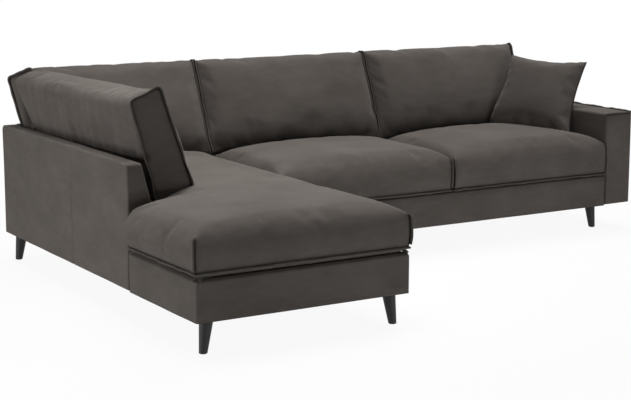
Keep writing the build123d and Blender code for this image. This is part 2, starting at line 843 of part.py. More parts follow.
# Each loose cushion is a sewn, wadded cover around a plain foam or fibre block.
cushions = {
    "chaise_seat": (
        without(seat_form(*chaise_seat_spans), side_notch(0), back_rest_room.part, side_rest_room.part),
        lambda inset: without(seat_block(*chaise_seat_spans, inset), side_notch(inset)),
    ),
    "middle_seat": (
        without(seat_form(*middle_seat_spans), back_rest_room.part),
        lambda inset: seat_block(*middle_seat_spans, inset),
    ),
    "right_seat": (
        without(seat_form(*right_seat_spans), back_rest_room.part),
        lambda inset: seat_block(*right_seat_spans, inset),
    ),
    "corner_back": (
        kept_above(back_form(corner_span), panel_trim(0)),
        lambda inset: kept_above(back_block(corner_span, inset), panel_trim(inset)),
    ),
    "middle_back": (back_form(middle_span), lambda inset: back_block(middle_span, inset)),
    "right_back": (back_form(right_span), lambda inset: back_block(right_span, inset)),
    "side_back": (side_back_form(), side_block),
    "scatter": (scatter_form(), scatter_block),
}
for name, (outside, block) in cushions.items():
    finish(without(outside, block(cover_thick)), f"{name}_cover")
    finish(block(cover_thick + fit_gap), f"{name}_core")
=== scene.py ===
# %% [markdown]
# A corner sofa with a chaise on the left. The construction model already holds the timber, the
# springs, the fastenings and the legs at their real size. This lesson dresses it: every cushion,
# padded panel and cloth is remade as a soft skin that sits where its plain solid is.

# %% Load the construction model
import json
import math

import bpy
import numpy as np
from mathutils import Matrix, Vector
from mathutils.kdtree import KDTree


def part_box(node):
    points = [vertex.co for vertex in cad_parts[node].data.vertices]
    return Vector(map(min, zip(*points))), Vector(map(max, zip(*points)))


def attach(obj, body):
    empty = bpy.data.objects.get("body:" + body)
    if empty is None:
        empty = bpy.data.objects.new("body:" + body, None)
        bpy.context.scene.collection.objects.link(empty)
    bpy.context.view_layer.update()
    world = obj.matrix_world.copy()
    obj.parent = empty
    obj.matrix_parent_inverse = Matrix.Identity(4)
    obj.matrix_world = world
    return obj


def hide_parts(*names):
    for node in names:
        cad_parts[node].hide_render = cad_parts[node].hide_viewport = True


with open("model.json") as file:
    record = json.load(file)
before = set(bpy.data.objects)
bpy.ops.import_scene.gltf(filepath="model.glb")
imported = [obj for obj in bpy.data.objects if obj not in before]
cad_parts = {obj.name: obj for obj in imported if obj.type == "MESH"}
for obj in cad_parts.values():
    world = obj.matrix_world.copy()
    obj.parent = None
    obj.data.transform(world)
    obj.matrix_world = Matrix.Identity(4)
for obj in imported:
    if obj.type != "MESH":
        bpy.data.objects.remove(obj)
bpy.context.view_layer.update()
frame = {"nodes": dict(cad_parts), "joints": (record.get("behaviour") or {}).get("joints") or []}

# %% [markdown]
# The camera comes first, because every shape is judged through it. The photograph was taken from the
# left front, about head height, with a long lens. A camera that is pitched down a little and has no
# shift keeps its framing in every other view too.

# %% Set the camera
camera_place = Vector((-3.958, -5.884, 1.5705))
camera_turn = math.radians(31.14)  # from +Y towards +X
camera_dip = math.radians(10.26)
lens_mm = 90.05

camera_data = bpy.data.cameras.new("studio_camera")
camera_data.lens = lens_mm
camera_data.sensor_width = 36
camera = bpy.data.objects.new("studio_camera", camera_data)
camera.location = camera_place
camera.rotation_euler = (math.pi / 2 - camera_dip, 0, -camera_turn)
bpy.context.scene.collection.objects.link(camera)
bpy.context.scene.camera = camera
print("camera lens", lens_mm, "mm, at", tuple(camera_place))

# %% [markdown]
# A soft piece follows its frame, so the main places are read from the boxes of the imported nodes
# and not typed again.

# %% Read the main places
x_left, y_front, base_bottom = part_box("chaise_front_border")[0]
x_join, _, base_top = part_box("chaise_front_border")[1]
x_panel, y_rear, panel_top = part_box("side_panel_cover")[1]
y_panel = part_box("side_panel_cover")[0].y
x_arm, y_sofa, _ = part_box("arm_cover")[0]
x_right, _, arm_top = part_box("arm_cover")[1]
y_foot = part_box("back_panel_cover")[0].y
x_split = (x_join + x_arm) / 2
panel_top_thick = 0.063  # the panels' thin top edge, which no box shows
panel_foot_thick = x_panel - x_left
print("sofa", round(x_right - x_left, 3), "wide and", round(y_rear - y_front, 3), "deep")

# %% [markdown]
# Nearly every soft piece is a box at heart: a seat, a back cushion, an arm. So one helper lays a grid of
# quads over the six sides of a box, and a place function bends that skin into its real form. The
# helper remembers which vertex came from which grid corner, so that a seam can be found again later.

# %% Lay a skin over a box
def even_lines(length, step):
    """Grid lines at about one step apart."""
    return np.linspace(0, length, max(2, round(length / step) + 1))


def edge_lines(length, radius, step, turns=4):
    """Grid lines that crowd at both ends, where an edge is rounded to a radius."""
    steep = np.linspace(math.pi / 4, 0, turns + 1)
    turn = radius - radius * np.tan(steep, out=steep)
    turn[0] = 0  # exactly, because the points of an end are found by this value
    middle = radius + even_lines(length - 2 * radius, step)
    return np.concatenate([turn[:-1], middle, length - turn[:-1][::-1]])


class Skin:
    """Points and quads of a box skin, with the grid corner that each point came from."""

    def __init__(self, lines, open_sides=()):
        self.last = [len(line) - 1 for line in lines]
        self.index = {}
        self.faces = []
        for way in range(3):
            for end in (0, self.last[way]):
                if (way, end > 0) not in open_sides:
                    self.lay_side(way, end)
        corners = np.array(list(self.index))
        self.flat = np.stack([np.asarray(lines[way])[corners[:, way]] for way in range(3)], 1)
        self.points = self.flat.copy()

    def lay_side(self, way, end):
        across, along = (way + 1) % 3, (way + 2) % 3
        for i in range(self.last[across]):
            for j in range(self.last[along]):
                quad = []
                for di, dj in ((0, 0), (1, 0), (1, 1), (0, 1)):
                    corner = [0, 0, 0]
                    corner[way], corner[across], corner[along] = end, i + di, j + dj
                    quad.append(self.index.setdefault(tuple(corner), len(self.index)))
                self.faces.append(quad if end else quad[::-1])

    def rim(self, way, end):
        """Vertex numbers around one side, in order."""
        across, along = (way + 1) % 3, (way + 2) % 3
        n, m = self.last[across], self.last[along]
        walk = [(i, 0) for i in range(n)] + [(n, j) for j in range(m)]
        walk += [(i, m) for i in range(n, 0, -1)] + [(0, j) for j in range(m, 0, -1)]
        found = []
        for i, j in walk:
            corner = [0, 0, 0]
            corner[way], corner[across], corner[along] = end * self.last[way], i, j
            found.append(self.index[tuple(corner)])
        return found

    def edge(self, way, *ends):
        """Vertex numbers along one of the box's edges, given the two ends that it lies at."""
        others = [w for w in range(3) if w != way]
        found = []
        for k in range(self.last[way] + 1):
            corner = [0, 0, 0]
            corner[way] = k
            for other, end in zip(others, ends):
                corner[other] = end * self.last[other]
            found.append(self.index[tuple(corner)])
        return found


def make_mesh(name, points, faces, smooth=True, edges=()):
    """A new mesh object at the origin."""
    mesh = bpy.data.meshes.new(name)
    mesh.from_pydata([tuple(p) for p in points], edges, [tuple(f) for f in faces])
    mesh.update()
    if smooth:
        mesh.polygons.foreach_set("use_smooth", [True] * len(mesh.polygons))
    piece = bpy.data.objects.new(name, mesh)
    bpy.context.scene.collection.objects.link(piece)
    return piece


def rounded(points, size, radius):
    """Round the edges of a box skin that lies between zero and its size."""
    inner = np.clip(points, radius, size - radius)
    off = points - inner
    reach = np.abs(off).max(axis=1, keepdims=True)
    length = np.maximum(np.linalg.norm(off, axis=1, keepdims=True), 1e-9)
    return inner + off * reach / length


def grid_faces(columns, rows):
    """Quads over points that lie in columns of so many rows, one column after the other."""
    faces = []
    for i in range(columns - 1):
        for j in range(rows - 1):
            a = i * rows + j
            faces.append((a, a + rows, a + rows + 1, a + 1))
    return faces


print("skin helpers ready")

# %% [markdown]
# Cloth is never quite flat. A sum of a few long sine waves with fixed directions gives soft, repeatable
# unevenness, without any noise texture that would have to be baked.

# %% Soft unevenness
def ripple(points, wave, seed, stretch=(1, 1, 1)):
    """Smooth values from about -1 to 1 over points, with waves of about one length."""
    draw = np.random.default_rng(seed)
    total = np.zeros(len(points))
    for _ in range(7):
        way = draw.normal(size=3)
        way = way / np.linalg.norm(way) * draw.uniform(0.7, 1.5) * 2 * math.pi / wave
        total += np.sin((points * stretch) @ way + draw.uniform(0, 2 * math.pi))
    return total / 4


def swell(share, power=2.4):
    """How full a cushion is from one seam (0) to the other (1): steep at the seams, level between."""
    return np.maximum(1 - np.abs(2 * share - 1) ** power, 0) ** (1 / power)


def smooth_step(value):
    value = np.clip(value, 0, 1)
    return value * value * (3 - 2 * value)


print("ripple of three points:", ripple(np.eye(3), 0.4, 1).round(2))

# %% [markdown]
# Shader nodes read like sums when a small class carries a socket and turns plus and times into Math
# nodes. A finish holds one node tree and adds any other node through one method.

# %% Write shader maths as sums
class Value:
    """A socket that can be added and multiplied."""

    def __init__(self, finish, socket):
        self.finish = finish
        self.socket = socket

    def join(self, operation, first, second):
        return self.finish.node("ShaderNodeMath", {"operation": operation}, {0: first, 1: second})

    def __add__(self, other):
        return self.join("ADD", self, other)

    def __mul__(self, other):
        return self.join("MULTIPLY", self, other)

    __radd__ = __add__
    __rmul__ = __mul__


class Nodes:
    """A node tree that grows by one method."""

    def __init__(self, tree):
        self.tree = tree
        tree.nodes.clear()

    def node(self, kind, settings=None, sockets=None, out=0):
        """Add a node: its settings, then values or links for its sockets. Gives one output or several."""
        made = self.tree.nodes.new(kind)
        for name, value in (settings or {}).items():
            setattr(made, name, value)
        for name, value in (sockets or {}).items():
            if isinstance(value, Value):
                self.tree.links.new(value.socket, made.inputs[name])
            else:
                made.inputs[name].default_value = value
        if isinstance(out, tuple):
            return [Value(self, made.outputs[one]) for one in out]
        return Value(self, made.outputs[out]) if made.outputs else None


class Finish(Nodes):
    """The nodes of a new material, or of the world."""

    def __init__(self, name, owner=None):
        self.owner = owner or bpy.data.materials.new(name)
        self.owner.use_nodes = True
        super().__init__(self.owner.node_tree)

    def place(self, scale=(1, 1, 1), turn=(0, 0, 0)):
        """Object coordinates, stretched and turned."""
        here = self.node("ShaderNodeTexCoord", out=3)
        return self.node("ShaderNodeMapping", None, {"Vector": here, "Scale": scale, "Rotation": turn})

    def noise(self, where, scale, detail=2.0, roughness=0.5):
        sockets = {"Vector": where, "Scale": scale, "Detail": detail, "Roughness": roughness}
        return self.node("ShaderNodeTexNoise", None, sockets)

    def ramp(self, value, low, high):
        """Stretch a band of values to run from 0 to 1."""
        sockets = {"Value": value, "From Min": low, "From Max": high}
        return self.node("ShaderNodeMapRange", None, sockets)

    def mix(self, amount, first, second):
        settings = {"data_type": "RGBA"}
        return self.node("ShaderNodeMix", settings, {0: amount, 6: first, 7: second}, out=2)

    def finish(self, **sockets):
        """End in one Principled shader."""
        named = {name.replace("_", " ").title(): value for name, value in sockets.items()}
        named = {name.replace("Ior", "IOR"): value for name, value in named.items()}
        shader = self.node("ShaderNodeBsdfPrincipled", None, named)
        self.node("ShaderNodeOutputMaterial", None, {"Surface": shader})
        return self.owner

    def bump(self, height, strength, distance):
        sockets = {"Height": height, "Strength": strength, "Distance": distance}
        return self.node("ShaderNodeBump", None, sockets)


def grey(red, green, blue):
    """A colour from sRGB values of 0 to 255, in Blender's linear values."""
    linear = [((c / 255 + 0.055) / 1.055) ** 2.4 if c > 10 else c / 255 / 12.92 for c in (red, green, blue)]
    return (*linear, 1.0)


print("shader helpers ready")

# %% [markdown]
# The cover is a soft velour in a warm dark grey. Its pile lies in patches that were stroked one way or
# the other, so the colour drifts a little over a hand's width, and a finer, streaky grain shows close
# up. A constant sheen brightens it where it turns away, as short pile does. Where a cover runs into a
# seam, the fold there lies in shade, and that shade is painted into the colour: pieces with seams carry
# how dark it is as a value on their points.

# %% Velour
# the point value that holds how much painted shade a point gets
painted_shade = "painted_shade"


def make_velour(name, dark, light, painted_shade_colour, sheen):
    finish = Finish(name)
    patches = finish.noise(finish.place((3, 3, 5)), 1.6, 3.0, 0.55)
    strokes = finish.noise(finish.place((14, 14, 40)), 1.0, 3.0, 0.6)
    grain = finish.noise(finish.place(), 420.0, 3.0, 0.7)
    tone = finish.ramp(patches * 0.5 + strokes * 0.26 + grain * 0.24, 0.36, 0.66)
    cloth = finish.mix(tone, dark, light)
    # painted shade: the colour turns to a dark grey by the value that each point carries
    shade = finish.node("ShaderNodeAttribute", {"attribute_name": painted_shade}, out=2)
    pile = finish.noise(finish.place(), 900.0, 2.0, 0.6)
    height = pile * 0.6 + grain * 0.4
    return finish.finish(
        base_color=finish.mix(shade, cloth, painted_shade_colour),
        roughness=0.78 + 0.16 * grain,
        normal=finish.bump(height, 0.35, 0.0012),
        sheen_weight=sheen,
        sheen_roughness=0.42,
        sheen_tint=(0.86, 0.82, 0.79, 1),
        specular_ior_level=0.05,
    )


# the third colour is the dark grey of the painted shade
velour = make_velour("warm_grey_velour", grey(76, 71, 67), grey(90, 85, 81), grey(20, 18, 16), 0.10)
print("velour ready")

# %% [markdown]
# Every finished piece goes through the same last steps: its material, the body that it rides on and the
# plain solids that it stands for.

# %% Hand a piece to its body
def dress(piece, body, material, stands_for=()):
    piece.data.materials.clear()
    piece.data.materials.append(material)
    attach(piece, body)
    if stands_for:
        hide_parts(*stands_for)
    print(piece.name, "has", len(piece.data.polygons), "faces")
    return piece


def settle(piece):
    """Turn a piece's modifiers into plain mesh."""
    bpy.context.view_layer.update()
    seen = piece.evaluated_get(bpy.context.evaluated_depsgraph_get())
    mesh = bpy.data.meshes.new_from_object(seen)
    old = piece.data
    piece.modifiers.clear()
    piece.data = mesh
    bpy.data.meshes.remove(old)
    mesh.name = piece.name
    return piece


def wall(piece, thick):
    """Give an open skin the thickness of its padding, inwards."""
    solid = piece.modifiers.new("padding", "SOLIDIFY")
    solid.thickness = thick
    solid.offset = -1
    return settle(piece)


print("hand-over ready")

# %% [markdown]
# The panels are timber boxes under foam and velour. Their faces are flat, the edges are rounded by the
# foam, and the section tapers from a thick foot to a thin top. A rounded box is squeezed along its
# height to give that taper, and a ripple of under a millimetre keeps the cloth from looking like board.

# %% Side, corner and back panels
panel_round = 0.010
panel_pad = 0.012
panel_step = 0.03
cloth_drift = 0.0009
cloth_wave = 0.3
drift_ways = np.array([1, 0.2, 0.2])  # mostly through the panel
face_seam_from_front = 0.555  # the flat seam in the side panel's outer cover
face_seam_half = 0.005
face_seam_depth = 0.0025
rear_round = 0.026  # the side panel's top corner at the rear
rear_lines = rear_round * np.array([0.5, 0.65, 0.8, 1.0])  # extra grid lines through that corner


def round_open_foot(points, size, radius):
    """Round every edge of a box skin but those of its open foot."""
    round_all = rounded(points, size, radius)
    round_plan = np.concatenate([rounded(points[:, :2], size[:2], radius), points[:, 2:]], 1)
    return np.where(points[:, 2:] > size[2] / 2, round_all, round_plan)


def round_rear_top(points, length, height):
    """Turn the top rear corner of a panel on a larger radius."""
    over = np.maximum(points[:, 1:] - np.array([length, height]) + rear_round, 0)
    shrink = over.max(axis=1) / np.maximum(np.linalg.norm(over, axis=1), 1e-9)
    points[:, 1:] += over * np.where(over.min(axis=1) > 0, shrink - 1, 0)[:, None]


def padded_panel(name, length, to_place, seed, face_seam=None):
    """A tapering panel: x inwards from its outer face, y along it, z up. Its foot is open."""
    size = np.array([panel_foot_thick, length, panel_top - base_bottom])
    lines = [edge_lines(side, panel_round, panel_step) for side in size]
    if face_seam:
        lines[1:] = [np.sort(np.concatenate([line, line[-1] - rear_lines])) for line in lines[1:]]
        beside = face_seam + np.array([-1, 0, 1]) * face_seam_half
        lines[1] = np.sort(np.concatenate([lines[1], beside]))
    skin = Skin(lines, open_sides=[(2, False)])
    points = skin.flat.copy()
    if face_seam:
        sewn = (skin.flat[:, 0] <= 0) & (np.abs(skin.flat[:, 1] - face_seam) < face_seam_half / 2)
        points[sewn, 0] += face_seam_depth
    points = round_open_foot(points, size, panel_round)
    if face_seam:
        round_rear_top(points, length, size[2])
    taper = (points[:, 2] + base_bottom - base_top) / (panel_top - base_top)
    thick = panel_foot_thick + (panel_top_thick - panel_foot_thick) * np.clip(taper, 0, 1)
    points[:, 0] *= thick / panel_foot_thick
    points += (ripple(points, cloth_wave, seed) * cloth_drift)[:, None] * drift_ways
    x, y, z = points.T
    piece = make_mesh(name, to_place(x, y, z + base_bottom), skin.faces)
    return wall(piece, panel_pad)


def along_side(x, y, z):
    return np.stack([x_left + x, y_panel + y, z], 1)


panel_slope = (panel_foot_thick - panel_top_thick) / (panel_top - base_top)


def panel_face(z, clear=0.001):
    """Where the side panel's sloping inner face stands at a height."""
    return x_left + panel_top_thick + panel_slope * (panel_top - z) + clear


def along_corner(x, y, z):
    start = panel_face(np.maximum(z, base_top))
    return np.stack([start + y / corner_length * (x_join - start), y_rear - x, z], 1)


def along_back(x, y, z):
    return np.stack([x_join + y, y_rear - x, z], 1)


side_panel = padded_panel("side_panel", y_rear - y_panel, along_side, 3, face_seam_from_front)
corner_length = x_join - x_left - panel_top_thick
corner_panel = padded_panel("corner_panel", corner_length, along_corner, 4)
back_panel = padded_panel("back_panel", x_arm - x_join, along_back, 5)
for panel in (side_panel, corner_panel, back_panel):
    dress(panel, "frame", velour, [panel.name + "_cover"])

# %% [markdown]
# The arm is the same kind of box, with square sides.

# %% Box arm
arm_round = 0.012
arm_bulge = 0.004
arm_size = np.array([x_right - x_arm, y_rear - y_sofa, arm_top - base_bottom])


def padded_arm():
    skin = Skin([edge_lines(side, arm_round, panel_step) for side in arm_size], open_sides=[(2, False)])
    points = round_open_foot(skin.flat, arm_size, arm_round)
    middle = np.prod([swell(points[:, way] / arm_size[way], 3) for way in (1, 2)], axis=0)
    points[:, 0] += arm_bulge * middle * np.sign(points[:, 0] - arm_size[0] / 2)
    points += ripple(points, cloth_wave, 8)[:, None] * cloth_drift
    return skin, make_mesh("box_arm", points + np.array([x_arm, y_sofa, base_bottom]), skin.faces)


arm_skin, box_arm = padded_arm()
arm_runs = [arm_skin.edge(0, 0, 1) + arm_skin.edge(1, 1, 1)[1:]]  # front and outer top edges
dress(wall(box_arm, panel_pad), "frame", velour, ["arm_cover"])

# %% [markdown]
# The base is a padded strip that wraps the outer face and the top of the rails. It is one section,
# carried along the rails and round the two front corners of the chaise, so a sweep along a plan of
# straight runs and short arcs makes it.

# %% Padded base strips
base_round = 0.014
corner_round = 0.007
base_lip = 0.028
base_pad = 0.012
base_drop = 0.005  # the cover turns under the rail a little
base_wave = 0.28
joint_gap = 0.003  # where a strip meets a panel or the arm
# an extra grid line this far from each end of a run, so that the painted shade at a joint stays narrow
joint_shade = 0.007


def strip_section():
    """Height and setback of the strip, from the foot of its face to the lip over the rail."""
    foot = [(0, z) for z in np.linspace(base_bottom - base_drop, base_top - base_round, 6)]
    bend = []
    for turn in np.linspace(0, math.pi / 2, 7)[1:]:
        bend.append((base_round * (1 - math.cos(turn)), base_top - base_round * (1 - math.sin(turn))))
    return foot + bend + [(base_lip * 0.8, base_top), (base_lip, base_top)]


def strip_plan(corners):
    """Points and outward directions along straight runs with rounded corners, by about one step."""
    plan = []
    for i in range(len(corners) - 1):
        start, end = np.array(corners[i]), np.array(corners[i + 1])
        way = (end - start) / np.linalg.norm(end - start)
        out = np.array([way[1], -way[0]])
        first = corner_round if i > 0 else 0
        last = corner_round if i < len(corners) - 2 else 0
        run = np.linalg.norm(end - start) - first - last
        steps = np.concatenate([even_lines(run, panel_step), [joint_shade, run - joint_shade]])
        plan += [(start + way * (first + s), out) for s in np.sort(steps)]
        if last:
            after = np.array(corners[i + 2]) - end
            centre = end - way * last - out * corner_round
            out_after = np.array([after[1], -after[0]]) / np.linalg.norm(after)
            for share in (0.2, 0.4, 0.6, 0.8):
                aim = out * math.cos(share * math.pi / 2) + out_after * math.sin(share * math.pi / 2)
                plan.append((centre + aim * corner_round, aim))
    return plan


def padded_strip(name, corners, seed):
    section, plan = strip_section(), strip_plan(corners)
    points = np.array([[*(spot - out * setback), z] for spot, out in plan for setback, z in section])
    points[:, :2] += (ripple(points, base_wave, seed) * cloth_drift)[:, None]
    return wall(make_mesh(name, points, grid_faces(len(plan), len(section))), base_pad)


chaise_corners = [(x_left, y_panel - joint_gap), (x_left, y_front), (x_join, y_front), (x_join, y_foot)]
chaise_base = padded_strip("chaise_base", chaise_corners, 11)
sofa_base = padded_strip("sofa_base", [(x_join, y_sofa), (x_arm - joint_gap, y_sofa)], 12)
chaise_borders = ["chaise_front_border", "chaise_left_border", "chaise_right_border"]
dress(chaise_base, "frame", velour, chaise_borders)
dress(sofa_base, "frame", velour, ["sofa_front_border"])

# %% [markdown]
# The back cushions lean on the panels' top edges and stand on the seats, which are pressed flat there. So
# where they stand comes first. The side cushion of the chaise stands a little askew, and its rear end
# leans back with the corner cushion beside it.

# %% Where the back cushions stand
rest_clear = 0.0008  # between a back cushion and the seat
rest_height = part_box("middle_back_cover")[0].z - rest_clear
lean = math.asin(next(j for j in frame["joints"] if j["name"] == "middle_back_lift")["axis"][1])
back_thick = 0.145
front_crown = 0.046
panel_clear = 0.005
pivot_y = y_rear - panel_top_thick - panel_clear  # where a back cushion leans on the panel's edge


def lean_point(across, along):
    """A point of a back cushion's section: in from its front face, up along its lean."""
    y = pivot_y + along * math.sin(lean) + (across - back_thick) * math.cos(lean)
    z = panel_top + along * math.cos(lean) - (across - back_thick) * math.sin(lean)
    return y, z


def lean_place(across, height):
    """How far along its lean a back cushion reaches a height."""
    return (height - panel_top + (across - back_thick) * math.sin(lean)) / math.cos(lean)


back_line = lean_point(0, lean_place(0, rest_height))[0]
side_thick = 0.15
side_tall = 0.44
side_corners = {  # of its section, right of the panel's top edge and above the floor
    "inner foot": (0.200, 0.500),
    "inner top": (0.061, 0.908),
    "outer foot": (0.047, 0.444),
    "outer top": (-0.065, 0.857),
}
side_gaps = (0.063, 0.015)  # clear of the panel's top edge, at its front and its rear end
side_first = y_front + 0.67  # its front end
side_crown = front_crown + 0.009
side_last = lean_point(-side_crown, lean_place(-side_crown, panel_top))[0]
side_skew = (0.035, 0.085)  # its outer face reaches further back, at its foot and at its top


def side_start(share):
    """Where the section's origin lies, along the cushion."""
    return x_left + panel_top_thick + side_gaps[0] + (side_gaps[1] - side_gaps[0]) * share


def side_spot(across, along, share):
    """A point of the side cushion: in from its inner face, up from its foot, along its length."""
    corner = {name: np.array(place) for name, place in side_corners.items()}
    deep, high = (across / side_thick)[:, None], (along / side_tall)[:, None]
    inner = corner["inner foot"] * (1 - high) + corner["inner top"] * high
    outer = corner["outer foot"] * (1 - high) + corner["outer top"] * high
    x, z = (inner * (1 - deep) + outer * deep).T
    skew = side_skew[0] + (side_skew[1] - side_skew[0]) * np.clip(high[:, 0], 0, 1)
    y = side_first + (side_last - side_first) * share + skew * share * deep[:, 0]
    return np.stack([side_start(share) + x, y + (z - panel_top) * np.tan(lean * share), z], 1)


def side_foot(x, y):
    """Height of the side cushion's underside, and how far right of its foot a place is."""
    (x_in, z_in), (x_out, z_out) = side_corners["inner foot"], side_corners["outer foot"]
    local = x - side_start(np.clip((y - side_first) / (side_last - side_first), 0, 1))
    return z_out + (local - x_out) * (z_in - z_out) / (x_in - x_out), local - x_in


print("back cushions stand at", round(rest_height, 3), "and the side cushion from", round(side_first, 3))

# %% [markdown]
# Seat cushions. The top panel falls over the front and the sides like a fitted sheet, so the top edge is
# round and only the bottom edge and the upright corners carry a seam. Each side's fullness is a quarter
# ellipse that starts upright at the edge, and their product makes soft corners. The cushion is pressed
# down where a back cushion stands on it.

# %% Form of the seat cushions
seat_edge = 0.440  # height where the wall turns into the top
shoulder_width = 0.15
shoulder_rise = 0.040
crown_rise = 0.018
wall_bulge = 0.008
left_bulge = 0.028  # the chaise cushion swells past its base on the left
bulge_ease = 0.03  # this dies away where the cushion narrows
bulge_run = 0.4  # and towards the front, where a share of it is left
bulge_left = 0.2
foot_lift = 0.008  # the underside curls up to the bottom seam
chaise_foot_lift = 0.026
foot_curl = 0.06
side_draw = 0.006  # how far a wall draws in between its corners
neighbour_gap = 0.005  # room for the standing seams between neighbours
seat_step = 0.018
wall_rows = 10
press_lines = np.array([0.04, 0.03, 0.02, 0.012, 0.005, 0])  # extra grid lines before a pressed place
notch_lines = np.linspace(0.032, 0.002, 11)  # where the chaise cushion narrows, before the panel
side_lines = np.array([0.01, 0])
rest_fall = 0.034  # length over which a seat falls to a pressed place
side_fall = 0.13  # and in front of the side cushion
side_press = 0.001  # how far the seat stays below the side cushion


def shoulder(distance, width=shoulder_width):
    """From 0 at an edge to 1 on the level top."""
    near = np.clip(distance / width, 0, 1)
    return np.sqrt(1 - (1 - near) ** 2)


def crowded(length, step, ease=0.35):
    """Lines from 0 to 1 that crowd towards both ends."""
    even = np.linspace(0, 1, max(8, round(length / step)) + 1)
    return even * (1 - ease) + ease * (0.5 - 0.5 * np.cos(math.pi * even))


def seat_lines(y_low, y_high, notched):
    """Shares of the depth, with extra lines where the seat is pressed and where it narrows."""
    places = [back_line - press_lines]
    if notched:
        places += [y_panel - notch_lines, side_first - side_lines]
    shares = (np.concatenate(places) - y_low) / (y_high - y_low)
    lines = crowded(y_high - y_low, seat_step)
    return np.unique(np.concatenate([lines, shares]).round(5))


def seat_skin(node, notch=None):
    """A seat cushion in its node's box. A notch gives the left edge where the cushion narrows."""
    low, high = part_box(node)
    x_low, x_high = low.x + wall_bulge, high.x - neighbour_gap
    y_low, y_high = low.y + wall_bulge, high.y
    depth_lines = seat_lines(y_low, y_high, notch)
    skin = Skin([crowded(x_high - x_low, seat_step), depth_lines, np.linspace(0, 1, wall_rows)])
    a, b, c = skin.flat.T
    y = y_low + (y_high - y_low) * b
    left = notch(y) if notch else np.full_like(y, x_low)
    x = left + (x_high - left) * a
    front, rear = y - y_low, y_high - y
    full = shoulder(front) * shoulder(rear) * swell(a, 2.3)
    top = seat_edge + shoulder_rise * full + crown_rise * swell(a, 2) * swell(b, 2)
    free = smooth_step((back_line - y) / rest_fall)
    top = top - np.maximum(top - rest_height, 0) * (1 - free)
    if notch:
        height, beside = side_foot(x, y)
        free = smooth_step(np.maximum(beside / rest_fall, (side_first - y) / side_fall))
        top = top - np.maximum(top - height + side_press, 0) * (1 - free)
    edge = np.minimum(np.minimum(front, rear), np.minimum(x - left, x_high - x))
    lift = chaise_foot_lift if notch else foot_lift
    foot = low.z + lift * (1 - shoulder(edge, foot_curl))
    z = np.where(c >= 1, top, foot + (seat_edge - foot) * c)
    belly = np.sin(math.pi * np.clip(c, 0, 1)) ** 0.8
    if notch:
        outside = np.clip((x_left + bulge_ease - left) / bulge_ease, 0, 1)
        outside *= bulge_left + (1 - bulge_left) * smooth_step(front / bulge_run)
        x = x - np.where(a <= 0, left_bulge * belly * outside, 0)
    y = y - np.where(b <= 0, wall_bulge * belly - side_draw * swell(a), 0)
    skin.points = np.stack([x, y, z], 1)
    return skin


chaise_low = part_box("chaise_seat_cover")[0]
notch_left = x_left + 0.118  # its left edge beside the panel
notch_start = 0.030  # before the panel
notch_run = 0.026


def chaise_left(y):
    """Left edge of the chaise cushion: out over the base in front, inside the panel behind it."""
    inside = smooth_step((y - (y_panel - notch_start)) / notch_run)
    return chaise_low.x + wall_bulge + (notch_left - chaise_low.x - wall_bulge) * inside


seats = {
    "chaise_seat": seat_skin("chaise_seat_cover", chaise_left),
    "middle_seat": seat_skin("middle_seat_cover"),
    "right_seat": seat_skin("right_seat_cover"),
}
print({name: len(skin.points) for name, skin in seats.items()})

# %% [markdown]
# Back cushions lean on the panels. The front panel wraps over the top, and each end is closed by a flat
# gusset with a standing seam all round it. The section is a rounded strip, and its crown is full along
# the middle and dies away at the gussets.

# %% Form of the back cushions
back_above = 0.236  # from the panel's edge to the cushion's rear top edge, along the lean
rear_crown = 0.003
top_crown = 0.010
belly_foot, belly_fall = 1.12, 0.24  # the crown is fuller towards its foot
end_drops = (0.012, 0.012)  # how much lower the top edge is at the gussets
middle_round = 0.038
end_round = 0.012
gusset_bulge = 0.004
back_step = 0.016


def leaning_skin(length, thick, top, spot, low_of, rear_full=rear_crown, drops=end_drops, more_lines=()):
    """A leaning cushion between two gussets: spot places a point of the section along its length."""
    tall = top - low_of(0)
    across_lines = edge_lines(thick, middle_round, back_step, 3)
    up_lines = edge_lines(tall, middle_round, back_step, 3)
    long_lines = np.unique(np.concatenate([crowded(length, back_step, 0.5), more_lines]).round(5))
    skin = Skin([long_lines, across_lines, up_lines])
    share = skin.flat[:, 0]
    full = swell(share)
    radius = (end_round + (middle_round - end_round) * full)[:, None]
    section = rounded(skin.flat[:, 1:], np.array([thick, tall]), radius)
    deep, high = section[:, 0] / thick, section[:, 1] / tall
    belly = 4 * high * (1 - high) * (belly_foot - belly_fall * high) * full
    across = section[:, 0] - front_crown * belly * (1 - deep) + rear_full * belly * deep
    low = low_of(section[:, 0])
    drop = drops[0] + (drops[1] - drops[0]) * share
    along = low + high * (top - drop * (1 - full) - low)
    along += top_crown * full * 4 * deep * (1 - deep) * high**6
    at_end = np.where(share <= 0, -1, np.where(share >= 1, 1, 0))
    bulge = gusset_bulge * at_end * swell(np.clip(deep, 0, 1), 2) * swell(np.clip(high, 0, 1), 2)
    skin.points = spot(across, along, share) + bulge[:, None] * spot_way(spot)
    return skin


def spot_way(spot):
    """The way from one gusset to the other."""
    ends = spot(np.zeros(2), np.zeros(2), np.array([0.0, 1.0]))
    return (ends[1] - ends[0]) / np.linalg.norm(ends[1] - ends[0])


corner_inset = 0.046  # of the corner cushion's left end, at the panel's top edge
corner_splay = 0.133
corner_slant = 0.07  # how far its front is pushed in by the side cushion
slant_height = 0.25
corner_clear = 0.003
foot_clear = 0.0012
pucker_depth = 0.011
pucker_band = 0.17
pucker_wave = 0.13
pucker_stretch = (1, 0, 0.4)


def corner_left(across, z, start):
    """Left end of the corner cushion: clear of the panel, and slanted where the side cushion pushes it."""
    end = np.maximum(start + corner_inset - corner_splay * (z - panel_top), panel_face(z, corner_clear))
    pushed = np.clip(1 - across / back_thick, 0, 1) * np.clip((z - panel_top) / slant_height, 0, 1)
    return end + corner_slant * pushed


